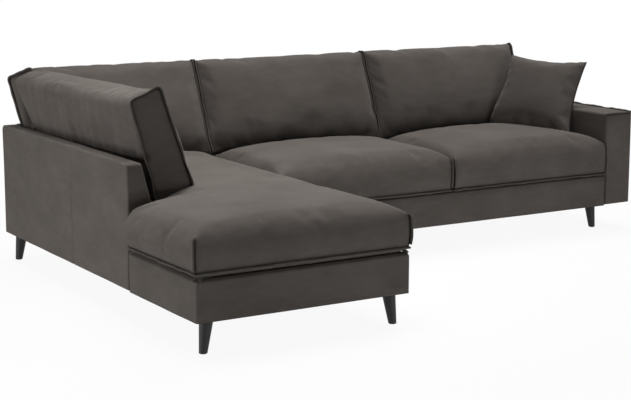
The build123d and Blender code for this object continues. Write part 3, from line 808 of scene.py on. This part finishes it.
def back_skin(node, seed, beside_panel=False):
    low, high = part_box(node)

    def spot(across, along, share):
        y, z = lean_point(across, along)
        left = corner_left(across, z, low.x) if beside_panel else low.x + neighbour_gap
        return np.stack([left + share * (high.x - left), y, z], 1)

    def low_of(across):
        return lean_place(across, rest_height + foot_clear)

    skin = leaning_skin(high.x - low.x, back_thick, back_above, spot, low_of)
    share, deep, tall = (skin.flat / skin.flat.max(axis=0)).T
    tuck = np.maximum(ripple(skin.points, pucker_wave, seed, pucker_stretch), 0)
    tuck *= np.exp(-((tall / pucker_band) ** 2))
    skin.points[:, 1] += pucker_depth * tuck * smooth_step(1 - 3 * deep) * swell(share) * (tall > 0)
    return skin


backs = {
    "corner_back": back_skin("corner_back_cover", 41, True),
    "middle_back": back_skin("middle_back_cover", 42),
    "right_back": back_skin("right_back_cover", 43),
}
rear_backs = list(backs)
print({name: len(skin.points) for name, skin in backs.items()})

# %% [markdown]
# The cushion along the side of the chaise is the same kind, turned to face right. Its loose outer face
# hangs in soft upright folds, which are drawn here because they follow how the cover was pulled on, with
# one sharp crease near the middle.

# %% Form of the side cushion
side_rear_crown = 0.020
side_drops = (0.0, 0.022)
fold_depth = 0.0055
fold_wave = 0.10
fold_stretch = (0, 1, 0.14)
fold_foot = 1.35  # folds are deeper towards the foot
crease_place = side_first + 0.585
crease_depth = 0.015
crease_half = 0.010
crease_lean = 0.03
crease_top = 0.98  # shares of the height over which it fades
crease_fade = 0.4
crease_lines = np.linspace(-0.024, 0.024, 9)  # extra grid lines beside it


def crease_of(skin):
    """How high each point of the side cushion is, and how far from the crease."""
    tall = skin.flat[:, 2] / skin.flat[:, 2].max()
    return tall, skin.points[:, 1] - crease_place - crease_lean * (tall - 0.5)


def side_skin():
    length = side_last - side_first
    beside = crease_lines + crease_place - side_first
    form = (side_thick, side_tall, side_spot, np.zeros_like, side_rear_crown, side_drops)
    skin = leaning_skin(length, *form, more_lines=beside / length)
    outer = smooth_step(skin.flat[:, 1] / side_thick * 3 - 2) * swell(skin.flat[:, 0])
    tall, away = crease_of(skin)
    folds = fold_depth * ripple(skin.points, fold_wave, 31, fold_stretch) * (fold_foot - tall)
    crease = crease_depth * np.exp(-((away / crease_half) ** 2))
    crease *= smooth_step((crease_top - tall) / crease_fade)
    skin.points[:, 0] += (folds + crease) * outer
    return skin


backs["side_back"] = side_skin()
print("side cushion runs from", round(side_first, 3), "to", round(side_last, 3))

# %% [markdown]
# The scatter cushion is two squares sewn edge to edge and filled. Its sides draw in, its corners stay
# pointed, and it leans in the corner between the arm and the back cushion.

# %% Form of the scatter cushion
scatter_size = np.array([0.45, 0.43])
scatter_thick = 0.15
scatter_draw = 0.022
scatter_spread = 0.05
scatter_edge = 0.0025  # half the thickness at its knife edge
scatter_step = 0.014
scatter_clear = 0.004
arm_edge = 0.016  # radius of the arm's top edge where the cushion lies on it
scatter_turn, scatter_lean, scatter_roll = (math.radians(d) for d in (61, 33, 3))
scatter_centre = np.array([x_arm - 0.070, y_sofa + 0.46, 0.646])


def scatter_axes():
    """Width, height and thickness directions of the leaning cushion."""
    across = np.array([math.cos(scatter_turn), -math.sin(scatter_turn), 0])
    flat = math.cos(scatter_lean)
    out = np.array([-math.sin(scatter_turn) * flat, -math.cos(scatter_turn) * flat, math.sin(scatter_lean)])
    up = np.cross(out, across)
    roll_cos, roll_sin = math.cos(-scatter_roll), math.sin(-scatter_roll)
    return np.stack([across * roll_cos + up * roll_sin, up * roll_cos - across * roll_sin, out])


def keep_above(points, place, normal):
    """Push points that lie below a plane back onto it."""
    below = np.minimum((points - place) @ normal, 0)
    return points - below[:, None] * normal


def drawn_in(share, other):
    """How far a side is pulled in between its corners."""
    return scatter_draw * np.sign(share) * np.abs(share) ** 3 * (1 - other**2)


def scatter_skin():
    lines = [crowded(size, scatter_step, 0.6) * 2 - 1 for size in scatter_size]
    skin = Skin([*lines, np.array([-1.0, 1.0])])
    a, b, c = skin.flat.T
    full = (swell((a + 1) / 2, 2.2) * swell((b + 1) / 2, 2.2)) ** 0.85
    x = scatter_size[0] / 2 * a * (1 - scatter_spread * b) - drawn_in(a, b)
    y = scatter_size[1] / 2 * b - drawn_in(b, a)
    z = c * (scatter_edge + scatter_thick / 2 * full)
    points = np.stack([x, y, z], 1) @ scatter_axes() + scatter_centre
    slope = np.array([-1, 0, math.tan(scatter_lean) * math.sin(scatter_turn)])
    slope /= np.linalg.norm(slope)
    inset = arm_edge * (slope[2] - slope[0] - 1) - scatter_clear  # how far a round edge lies in
    points = keep_above(points, np.array([x_arm, 0, arm_top]) - slope * inset, slope)
    crown = np.array([0, *lean_point(-front_crown - scatter_clear, 0)])
    skin.points = keep_above(points, crown, np.array([0, -math.cos(lean), math.sin(lean)]))
    return skin


scatter = scatter_skin()
print("scatter cushion", len(scatter.points), "points")

# %% [markdown]
# A form drawn by formula is too even for a stuffed cover. Blender's Cloth fills it: the seams and whatever
# lies on something are held, the cover is a little larger than its form, and a light pressure pushes it
# out. What is left over gathers in soft folds along the seams, as on the real cushions. A cap keeps every
# point near its form, so that neighbours stay clear of each other.

# %% Fill a cover
sim_frames = 16


def fill_cover(piece, held, pressure, spare, cap):
    """Run the cloth with some vertices held, and keep the result as plain points."""
    rest = np.array([v.co for v in piece.data.vertices])
    group = piece.vertex_groups.new(name="held")
    for vertices, weight in held:
        group.add([int(v) for v in vertices], weight, "REPLACE")
    cloth = piece.modifiers.new("filling", "CLOTH")
    settings = cloth.settings
    settings.quality = 6
    settings.mass = 0.25
    settings.tension_stiffness = settings.compression_stiffness = 14
    settings.shear_stiffness = 6
    settings.bending_stiffness = 0.35
    settings.use_pressure = True
    settings.uniform_pressure_force = pressure
    settings.vertex_group_mass = "held"
    settings.shrink_min = -spare
    settings.effector_weights.gravity = 0
    cloth.collision_settings.use_collision = False
    cloth.point_cache.frame_end = sim_frames
    for number in range(1, sim_frames + 1):
        bpy.context.scene.frame_set(number)
    seen = piece.evaluated_get(bpy.context.evaluated_depsgraph_get())
    move = np.array([v.co for v in seen.data.vertices]) - rest
    reach = np.linalg.norm(move, axis=1, keepdims=True)
    move *= np.minimum(1, cap / np.maximum(reach, 1e-9))
    piece.modifiers.remove(cloth)
    piece.vertex_groups.clear()
    bpy.context.scene.frame_set(1)
    piece.data.vertices.foreach_set("co", (rest + move).astype(np.float32).ravel())
    piece.data.update()
    average, most = float(reach.mean() * 1000), float(reach.max() * 1000)
    print(piece.name, "moved", round(average, 1), "mm on average, at most", round(most, 1))


# %% [markdown]
# Now the forms become cushions. After the filling each gets a level of subdivision for a smooth skin, with
# its seams creased so that they stay where they were sewn. A held vertex has a weight: at 1 it stays, and
# below that the cloth may pull it along a little.

# %% Sew the cushions
under_back_reach = 0.012  # in front of the line where the back cushions stand
near_panel_reach = 0.034
near_panel_share = 0.02  # of the chaise cushion's width
fillings = {  # pressure, share of spare cloth, and the furthest that a point may move
    "chaise_seat": (2.2, 0.006, 0.012),
    "seat": (2.2, 0.012, 0.012),
    "back": (2.2, 0.014, 0.014),
    "scatter": (2.4, 0.03, 0.014),
}


def sew(name, skin, seams, held, pressure, spare, cap, crease=0.7):
    """Make a cushion from its skin. Seams are lists of vertex numbers."""
    piece = make_mesh(name + "_cushion", skin.points, skin.faces)
    sewn = {frozenset(pair) for seam in seams for pair in zip(seam, seam[1:])}
    fill_cover(piece, held + [(seam, 1.0) for seam in seams], pressure, spare, cap)
    sharp = piece.data.attributes.new("crease_edge", "FLOAT", "EDGE")
    folds = [crease if frozenset(edge.vertices) in sewn else 0.0 for edge in piece.data.edges]
    sharp.data.foreach_set("value", folds)
    finer = piece.modifiers.new("finer", "SUBSURF")
    finer.levels = finer.render_levels = 1
    return settle(piece)


def closed(seam, begin=0.0):
    """A seam that comes back to its start, which lies a share of the way round."""
    first = int(len(seam) * begin)
    return seam[first:] + seam[:first + 1]


def at(values, low, high):
    """Numbers of the vertices whose value lies in a band."""
    return np.nonzero((values >= low) & (values <= high))[0]


seams = {}
cushions = {}
for name, skin in seats.items():
    upright = [skin.edge(2, i, j) for i in (0, 1) for j in (0, 1)]
    seams[name] = [closed(skin.rim(2, 0), 0.5), *upright]  # begins out of sight, at the rear
    y = skin.points[:, 1]
    held = [(at(skin.flat[:, 0], 1, 1), 0.8)]
    if name == "chaise_seat":
        beside = (y >= y_panel - near_panel_reach) & (skin.flat[:, 0] <= near_panel_share)
        held.append((np.nonzero(beside)[0], 0.9))
    held.append((np.nonzero(y > back_line - under_back_reach)[0], 1.0))
    held.append((at(skin.flat[:, 2], 0, 0), 1.0))
    cushions[name] = sew(name, skin, seams[name], held, *fillings.get(name, fillings["seat"]))
for name, skin in backs.items():
    seams[name] = [closed(skin.rim(0, 0)), closed(skin.rim(0, 1))]
    thick = side_thick if name == "side_back" else back_thick
    rear = at(skin.flat[:, 1], thick, thick)
    gussets = np.concatenate([at(skin.flat[:, 0], 0, 0), at(skin.flat[:, 0], 1, 1)])
    held = [(gussets, 0.85), (rear, 0.6 if name == "side_back" else 1.0), (at(skin.flat[:, 2], 0, 0), 1.0)]
    cushions[name] = sew(name, skin, seams[name], held, *fillings["back"])
seams["scatter"] = [closed(scatter.rim(2, 0)), closed(scatter.rim(2, 1))]
cushions["scatter"] = sew("scatter", scatter, seams["scatter"], [], *fillings["scatter"])
for name, cushion in cushions.items():
    dress(cushion, name, velour, [name + "_cover", name + "_core"])

# %% [markdown]
# A standing seam is a narrow flat lip: the two panels are sewn face to face and the allowance is left
# standing outside. Each lip follows its seam on the finished cushion and points along the average of
# the two faces beside it. It sways a little, as hand-fed cloth does. The cover beside it and the root of
# the lip get painted shade, for the shadow in the fold there, which is deeper than the mesh shows.

# %% Standing seams
lip_width = 0.0115
lip_thick = 0.0056
lip_root = 0.004
lip_sway = 0.003
sway_wave = 0.10
lip_uneven = 0.16  # share by which its width varies
uneven_wave = 0.06
lip_step = 0.006
# how far from a seam the painted shade reaches, and how dark it is there
painted_shade_reach = 0.012
painted_shade_strength = 0.85
# each row of a lip: out from its seam, share of half its thickness, and the painted shade there
lip_ring = ((-lip_root, 1.0, 1.0), (0.002, 1.0, 0.9), (0.0085, 0.9, 0.12), (lip_width, 0.45, 0.0))


def walk_evenly(points, aims, step):
    """Resample a path and the directions along it."""
    lengths = np.linalg.norm(np.diff(points, axis=0), axis=1)
    along = np.concatenate([[0], np.cumsum(lengths)])
    spots = np.linspace(0, along[-1], max(3, round(along[-1] / step)) + 1)
    path = np.stack([np.interp(spots, along, points[:, k]) for k in range(3)], 1)
    aim = np.stack([np.interp(spots, along, aims[:, k]) for k in range(3)], 1)
    return path, aim / np.linalg.norm(aim, axis=1, keepdims=True)


def lip_row(path, aim, out, across):
    """One line along a lip, out from its seam and across its thickness. The lip sways as it goes."""
    side = np.cross(np.gradient(path, axis=0), aim)
    side /= np.maximum(np.linalg.norm(side, axis=1, keepdims=True), 1e-9)
    sway = ripple(path, sway_wave, 21)[:, None] * lip_sway / lip_width * max(out, 0)
    reach = 1 + lip_uneven * ripple(path, uneven_wave, 22)[:, None]
    return path + aim * out * reach + side * (across + sway)


def lip_mesh(path, aim, start):
    """Points, faces and painted shades of one lip, its faces numbered from start."""
    ring = [(out, lip_thick / 2 * share, shade) for out, share, shade in lip_ring]
    ring += [(out, -across, shade) for out, across, shade in ring[::-1]]
    points = [lip_row(path, aim, out, across) for out, across, _ in ring]
    count, rows = len(path), len(ring)
    faces = []
    for k in range(rows):
        a, b = k * count, (k + 1) % rows * count
        faces += [(a + i, b + i, b + i + 1, a + i + 1) for i in range(count - 1)]
    faces.append([k * count for k in range(rows)][::-1])
    faces.append([k * count + count - 1 for k in range(rows)])
    shades = np.repeat([shade for _, _, shade in ring], count)
    return np.concatenate(points), [[start + v for v in face] for face in faces], shades


def keep_painted_shade(piece, shades):
    """Store how much painted shade each point gets, for the velour to read. The darkest of several shades
    stays.
    """
    kept = piece.data.attributes.get(painted_shade) or piece.data.attributes.new(painted_shade, "FLOAT", "POINT")
    before = np.zeros(len(shades), dtype=np.float32)
    kept.data.foreach_get("value", before)
    kept.data.foreach_set("value", np.maximum(before, shades).astype(np.float32))


def seam_paths(piece, runs):
    """The runs of a piece's seams as evenly spaced points, with the way that a lip would stand."""
    vertices = piece.data.vertices
    walks = []
    for run in runs:
        spots = np.array([vertices[i].co for i in run])
        aims = np.array([vertices[i].normal for i in run])
        walks.append(walk_evenly(spots, aims, lip_step))
    return walks


def paint_shade(piece, spots, reach=painted_shade_reach, depth=painted_shade_strength):
    """Paint shade on a cover, darker towards some spots."""
    tree = KDTree(len(spots))
    for number, spot in enumerate(spots):
        tree.insert(spot, number)
    tree.balance()
    near = np.array([tree.find(vertex.co)[2] for vertex in piece.data.vertices])
    keep_painted_shade(piece, depth * smooth_step(1 - near / reach))


def standing_seam(name, walks):
    """One piece with a lip on each run of seam."""
    points, faces, shades = [], [], []
    for path, aim in walks:
        more, quads, dark = lip_mesh(path, aim, sum(len(p) for p in points))
        points.append(more)
        faces += quads
        shades.append(dark)
    piece = make_mesh(name + "_seam", np.concatenate(points), faces)
    # painted shade at the root of every lip
    keep_painted_shade(piece, np.concatenate(shades))
    return piece


print("seam helpers ready")

# %% [markdown]
# Not every lip stands free. Between two neighbours there is room along the gap only, so the lips there
# are turned to stand along it. The rear seam of the side cushion is pressed flat, the lip at the chaise
# seat's front left corner is folded over, and the scatter cushion has a plain knife edge.

# %% Sew the standing seams
lip_press = 0.2  # share of its sideways lean that a lip keeps in a gap
press_reach = 0.03
upright_trim = 2  # points left out where an upright seam starts in the bottom seam
corner_fold = np.array([-0.9, 0.4, 0])


def press_lips(walks, gaps):
    """Lips in the gap between two neighbours stand along it and not across it."""
    for path, aim in walks:
        near = np.abs(path[:, :1] - np.array(gaps)).min(axis=1) < press_reach
        aim[near & (path[:, 1] > y_sofa - press_reach), 0] *= lip_press


lips = {"frame": seam_paths(box_arm, arm_runs)}
for name, cushion in cushions.items():
    lips[name] = seam_paths(cushion, seams[name])
for name, walks in lips.items():
    # painted shade on each cover along its seams
    paint_shade(cushions.get(name, box_arm), np.concatenate([path for path, _ in walks]))
del lips["side_back"][1]
del lips["scatter"]
for name in rear_backs:
    press_lips(lips[name], (x_join, x_split))
for name in seats:
    press_lips(lips[name], (x_join, x_split, x_arm))
    rim, *uprights = lips[name]
    lips[name] = [rim, *((path[upright_trim:], aim[upright_trim:]) for path, aim in uprights)]
corner_path, corner_aim = lips["chaise_seat"][1]
corner_aim = corner_aim + corner_fold
lips["chaise_seat"][1] = corner_path, corner_aim / np.linalg.norm(corner_aim, axis=1, keepdims=True)
for body, walks in lips.items():
    dress(standing_seam("arm" if body == "frame" else body, walks), body, velour)

# %% [markdown]
# Where a strip of the base meets the side panel or the arm, the two covers turn in, and the shade in that
# joint is painted as a dark line. Shade is painted too where a cushion sinks in: along the feet of the back
# cushions, under the rims of the seats, and in the corner where two back cushions press together. The
# painted shade that the seams use does the same for these places, over a longer reach.

# %% Paint shade at the joints
# reaches and strengths of the painted shade at each place below
rim_reach = 0.012
sofa_rim_reach = 0.020  # the gap under the two seats is wider
sofa_rim_shade = 0.95
foot_height = 0.040  # above a back cushion's foot, where it comes out of the seat
foot_setback = 0.012
foot_reach = 0.085
foot_shade = 0.75
foot_sway = 0.011
crease_shade = (0.012, 0.5)  # reach and depth
crease_core = 0.004  # what lies this near the crease is its bottom
crease_shade_top = 0.8
edge_band = 0.012  # above and below the panel's top edge
edge_shade = (0.034, 0.7)
end_setback = 0.05  # behind the front of the corner cushion's left end
end_shade = (0.09, 0.7)


def line_of(start, end, step=0.008):
    """Points along a straight line."""
    start, end = np.array(start), np.array(end)
    shares = np.linspace(0, 1, max(2, round(np.linalg.norm(end - start) / step)))
    return start + (end - start) * shares[:, None]


# painted shade in the joints where the base meets the side panel and the arm
panel_joint = line_of((x_left, y_panel, base_bottom), (x_left, y_panel, base_top))
arm_joint = line_of((x_arm, y_sofa, base_bottom), (x_arm, y_sofa, base_top))
for spots, pieces in ((panel_joint, (chaise_base, side_panel)), (arm_joint, (sofa_base, box_arm))):
    for piece in pieces:
        paint_shade(piece, spots)

# painted shade on the base's top edge, in the shadow under the seat cushions
chaise_rim = line_of((x_left, y_panel, base_top), (x_left, y_front, base_top))
chaise_rim = np.concatenate([chaise_rim, line_of((x_left, y_front, base_top), (x_join, y_front, base_top))])
paint_shade(chaise_base, chaise_rim, rim_reach)
sofa_rim = line_of((x_join, y_sofa, base_top), (x_arm, y_sofa, base_top))
paint_shade(sofa_base, sofa_rim, sofa_rim_reach, sofa_rim_shade)

# painted shade along the feet of the back cushions, where they sink into the seats
for name in rear_backs:
    low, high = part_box(name + "_cover")
    place = (back_line - foot_setback, rest_height + foot_height)
    foot_line = line_of((low.x, *place), (high.x, *place))
    foot_line[:, 2] += foot_sway * ripple(foot_line, 0.12, 51)
    paint_shade(cushions[name], foot_line, foot_reach, foot_shade)

# painted shade in the sharp crease of the side cushion
side_cushion = backs["side_back"]
tall, away = crease_of(side_cushion)
outer = side_cushion.flat[:, 1] >= side_thick
creased = outer & (np.abs(away) < crease_core) & (tall < crease_shade_top)
paint_shade(cushions["side_back"], side_cushion.points[creased], *crease_shade)
# painted shade on the side cushion where it sits on the panel's top edge
at_edge = outer & (np.abs(side_cushion.points[:, 2] - panel_top) < edge_band)
paint_shade(cushions["side_back"], side_cushion.points[at_edge], *edge_shade)

# painted shade on the corner cushion's left end, in the crevice behind the side cushion
y, z = lean_point(end_setback, np.linspace(0, back_above, 40))
x = corner_left(end_setback, z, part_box("corner_back_cover")[0].x)
paint_shade(cushions["corner_back"], np.stack([x, y, z], 1), *end_shade)
print("shaded the joints and the places where cushions meet")

# %% [markdown]
# Each lip is closed by a row of stitches near its root, on both of its faces. They follow a path and
# repeat thousands of times, which is what Geometry Nodes is for. The tree turns a line of edges into
# points one stitch apart, sets a short thread on each, and makes the copies real, because a mesh is what
# other programs read.

# %% Stitches
stitch_pitch = 0.0078
stitch_length = 0.0054
thread_radius = 0.0006
stitch_out = 0.0046  # from the seam to the row, along the lip


def stitch_tree():
    """The node group, and the identifiers of its named inputs."""
    tree = bpy.data.node_groups.new("stitch_row", "GeometryNodeTree")
    kinds = {"Line": "Geometry", "Pitch": "Float", "Length": "Float", "Radius": "Float", "Thread": "Material"}
    found = {}
    for name, kind in kinds.items():
        socket = tree.interface.new_socket(name, in_out="INPUT", socket_type="NodeSocket" + kind)
        found[name] = socket.identifier
    tree.interface.new_socket("Stitches", in_out="OUTPUT", socket_type="NodeSocketGeometry")
    row = Nodes(tree)
    line, pitch, length, radius, thread = row.node("NodeGroupInput", out=tuple(kinds))
    curve = row.node("GeometryNodeMeshToCurve", None, {"Mesh": line})
    wanted = {"Curve": curve, "Length": pitch}
    given = ("Points", "Rotation")
    spots, turns = row.node("GeometryNodeCurveToPoints", {"mode": "LENGTH"}, wanted, out=given)
    bead = row.node("GeometryNodeMeshUVSphere", None, {"Segments": 6, "Rings": 4, "Radius": 1.0})
    size = row.node("ShaderNodeCombineXYZ", None, {"X": radius, "Y": radius, "Z": length * 0.5})
    stitch = row.node("GeometryNodeTransform", None, {"Geometry": bead, "Scale": size})
    wanted = {"Points": spots, "Instance": stitch, "Rotation": turns}
    copies = row.node("GeometryNodeInstanceOnPoints", None, wanted)
    real = row.node("GeometryNodeRealizeInstances", None, {"Geometry": copies})
    done = row.node("GeometryNodeSetMaterial", None, {"Geometry": real, "Material": thread})
    row.node("NodeGroupOutput", None, {"Stitches": done})
    return tree, found


def make_thread():
    finish = Finish("grey_thread")
    twist = finish.noise(finish.place(), 1500.0, 1.0, 0.5)
    colour = finish.mix(twist, grey(52, 49, 46), grey(74, 70, 66))
    return finish.finish(base_color=colour, roughness=0.55 + 0.2 * twist)


def stitch_rows(name, walks):
    """The stitches of one body, on both faces of its lips."""
    points, edges = [], []
    for path, aim in walks:
        for across in (-0.5, 0.5):
            row = lip_row(path, aim, stitch_out, across * lip_thick)
            first = sum(len(p) for p in points)
            edges += [(first + i, first + i + 1) for i in range(len(row) - 1)]
            points.append(row)
    piece = make_mesh(name + "_stitches", np.concatenate(points), [], edges=edges)
    sewing = piece.modifiers.new("sewing", "NODES")
    sewing.node_group = stitches
    wanted = {"Pitch": stitch_pitch, "Length": stitch_length, "Radius": thread_radius, "Thread": thread}
    for socket, value in wanted.items():
        sewing[stitch_inputs[socket]] = value
    return settle(piece)


stitches, stitch_inputs = stitch_tree()
thread = make_thread()
for body, walks in lips.items():
    dress(stitch_rows("arm" if body == "frame" else body, walks), body, thread)

# %% [markdown]
# Black dust cloths are stapled under both modules. They hang a few millimetres between their fixings, so
# each is a fine grid with a shallow sag, and the legs pass below it.

# %% Dust cloths
cloth_sag = 0.004
cloth_step = 0.05


def dust_cloth(name):
    low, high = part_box(name)
    xs = even_lines(high.x - low.x, cloth_step) + low.x
    ys = even_lines(high.y - low.y, cloth_step) + low.y
    grid = np.array([[x, y, high.z] for y in ys for x in xs])
    share_x = (grid[:, 0] - low.x) / (high.x - low.x)
    share_y = (grid[:, 1] - low.y) / (high.y - low.y)
    grid[:, 2] -= cloth_sag * np.sin(math.pi * share_x) * np.sin(math.pi * share_y)
    return make_mesh(name.replace("dust_cloth", "underside_cloth"), grid, grid_faces(len(ys), len(xs)))


def make_dust_cloth():
    finish = Finish("black_dust_cloth")
    fibres = finish.noise(finish.place((60, 500, 60)), 1.0, 2.0, 0.6)
    tone = finish.ramp(fibres, 0.35, 0.65)
    colour = finish.mix(tone, grey(22, 22, 23), grey(34, 33, 33))
    return finish.finish(base_color=colour, roughness=0.9, normal=finish.bump(fibres, 0.3, 0.0005))


dust_black = make_dust_cloth()
for module in ("chaise", "sofa"):
    node = module + "_dust_cloth"
    cloth = dust_cloth(node)
    low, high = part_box(node)
    dress(cloth, "frame", dust_black, [node])

# %% [markdown]
# The parts that stay as the construction model made them still need a real finish: planed softwood with
# its grain along the board, drawn steel wire, black lacquer on the turned legs and moulded plastic.

# %% Timber, steel, lacquer and plastic
def make_timber(name, way):
    """Planed softwood with its grain along one way."""
    finish = Finish(name)
    scale = [38.0, 38.0, 38.0]
    scale[way] = 2.2
    rings = finish.noise(finish.place(tuple(scale)), 1.0, 4.0, 0.6)
    fibre = finish.noise(finish.place(tuple(s * 9 for s in scale)), 1.0, 2.0, 0.5)
    tone = finish.ramp(rings * 0.75 + fibre * 0.25, 0.32, 0.68)
    colour = finish.mix(tone, grey(168, 128, 84), grey(214, 182, 136))
    return finish.finish(
        base_color=colour, roughness=0.55 + 0.2 * fibre, normal=finish.bump(fibre, 0.25, 0.0006)
    )


def make_steel():
    finish = Finish("drawn_steel")
    scuffs = finish.noise(finish.place((40, 40, 40)), 1.0, 3.0, 0.6)
    colour = finish.mix(finish.ramp(scuffs, 0.3, 0.7), grey(120, 121, 122), grey(160, 161, 163))
    return finish.finish(base_color=colour, metallic=1.0, roughness=0.28 + 0.25 * scuffs)


def make_lacquer():
    """Black lacquer over turned wood: the grain shows as faint streaks down the leg."""
    finish = Finish("black_lacquer")
    streaks = finish.noise(finish.place((160, 160, 9)), 1.0, 3.0, 0.55)
    colour = finish.mix(finish.ramp(streaks, 0.35, 0.7), grey(13, 13, 13), grey(25, 25, 24))
    return finish.finish(
        base_color=colour,
        roughness=0.42 + 0.16 * streaks,
        normal=finish.bump(streaks, 0.12, 0.0006),
        specular_ior_level=0.3,
    )


def make_plastic():
    finish = Finish("black_moulded_plastic")
    speck = finish.noise(finish.place(), 700.0, 2.0, 0.6)
    colour = finish.mix(speck, grey(24, 24, 25), grey(38, 38, 39))
    relief = finish.bump(speck, 0.2, 0.0003)
    return finish.finish(base_color=colour, roughness=0.45 + 0.2 * speck, normal=relief)


timber = [make_timber("softwood_" + way, i) for i, way in enumerate(("across", "along", "upright"))]
steel, lacquer, plastic = make_steel(), make_lacquer(), make_plastic()
plastic_nodes = ("floor_glides", "spring_clips")
for name, node in frame["nodes"].items():
    if node.hide_render:
        continue
    low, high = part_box(name)
    longest = max(range(3), key=lambda way: high[way] - low[way])
    if "leg_front" in name or "leg_rear" in name:
        finish = lacquer
    elif name in plastic_nodes:
        finish = plastic
    elif "rail" in name or "frame" in name or name == "corner_blocks":
        finish = timber[longest]
    else:
        finish = steel
    node.data.materials.clear()
    node.data.materials.append(finish)
print("finished", sum(not node.hide_render for node in frame["nodes"].values()), "construction nodes")

# %% [markdown]
# A plain white studio: a pale floor that keeps the sofa's shadow, a white world for the camera, and soft
# lamps. The strongest lamp hangs above, because the seat tops are the lightest faces in the photograph.
# Two long low lamps light the upright faces from the left and from the front. A narrow lamp adds a little
# on the chaise, and another on the corner by the arm.

# %% Studio
def looked_at(finish):
    """1 for rays that come from the camera, straight or by way of metal or glass."""
    kinds = ("Is Camera Ray", "Is Glossy Ray", "Is Transmission Ray")
    straight, mirrored, through = [finish.node("ShaderNodeLightPath", out=kind) for kind in kinds]
    return straight + mirrored + through


floor_shadow = 0.07  # share of the floor's own shading that shows near the sofa
floor_fade = (1.7, 3.2)  # metres from the middle, where it fades away


def make_floor():
    """A pale floor that fades to plain white away from the sofa and keeps its shadow near it."""
    finish = Finish("studio_floor")
    radius = finish.node("ShaderNodeVectorMath", {"operation": "LENGTH"}, {0: finish.place()}, out=1)
    white_share = looked_at(finish) * (1 - floor_shadow + floor_shadow * finish.ramp(radius, *floor_fade))
    lit = finish.node("ShaderNodeBsdfDiffuse", None, {"Color": (0.72, 0.72, 0.72, 1)})
    white = finish.node("ShaderNodeEmission", None, {"Color": (1, 1, 1, 1), "Strength": 1.0})
    mixed = finish.node("ShaderNodeMixShader", None, {0: white_share, 1: lit, 2: white})
    finish.node("ShaderNodeOutputMaterial", None, {"Surface": mixed})
    return finish.owner


floor_half = 30.0
floor_corners = [(-floor_half, -floor_half, 0), (floor_half, -floor_half, 0)]
floor_corners += [(floor_half, floor_half, 0), (-floor_half, floor_half, 0)]
floor = make_mesh("studio_floor", floor_corners, [(0, 1, 2, 3)], smooth=False)
floor.data.materials.append(make_floor())


def white_world(level):
    """Even grey light for the object, white for whatever looks past it."""
    sky = Finish("studio_world", bpy.data.worlds.new("studio_world"))
    glow = sky.node("ShaderNodeBackground", None, {"Color": (1, 1, 1, 1), "Strength": level})
    plain = sky.node("ShaderNodeBackground", None, {"Color": (1, 1, 1, 1), "Strength": 1.0})
    mixed = sky.node("ShaderNodeMixShader", None, {0: looked_at(sky), 1: glow, 2: plain})
    sky.node("ShaderNodeOutputWorld", None, {"Surface": mixed})
    bpy.context.scene.world = sky.owner


def soft_lamp(name, place, aim, size, watts, spread=180):
    data = bpy.data.lights.new(name, "AREA")
    data.shape = "RECTANGLE"
    data.size, data.size_y = size
    data.energy = watts
    data.spread = math.radians(spread)
    lamp = bpy.data.objects.new(name, data)
    lamp.location = place
    lamp.rotation_euler = (Vector(aim) - Vector(place)).to_track_quat("-Z", "Y").to_euler()
    bpy.context.scene.collection.objects.link(lamp)


white_world(0.085)
soft_lamp("left_lamp", (-5.2, 0.2, 0.60), (0, 0.2, 0.45), (3.2, 0.9), 98)
soft_lamp("front_lamp", (1.4, -6.2, 0.5), (0.2, 0, 0.4), (4, 0.9), 112)
soft_lamp("right_lamp", (-2.2, -4.6, 3.0), (1.25, 0.15, 0.6), (1.2, 1.2), 1.8, 36)
soft_lamp("top_lamp", (1.8, 1.2, 4.2), (0.3, 0.2, 0.4), (2.6, 2.0), 190)
soft_lamp("chaise_lamp", (-1.3, -0.1, 3.2), (-1.1, -0.2, 0.4), (1.2, 1.6), 20, 80)
bpy.context.scene.view_settings.view_transform = "Standard"
print("studio ready")
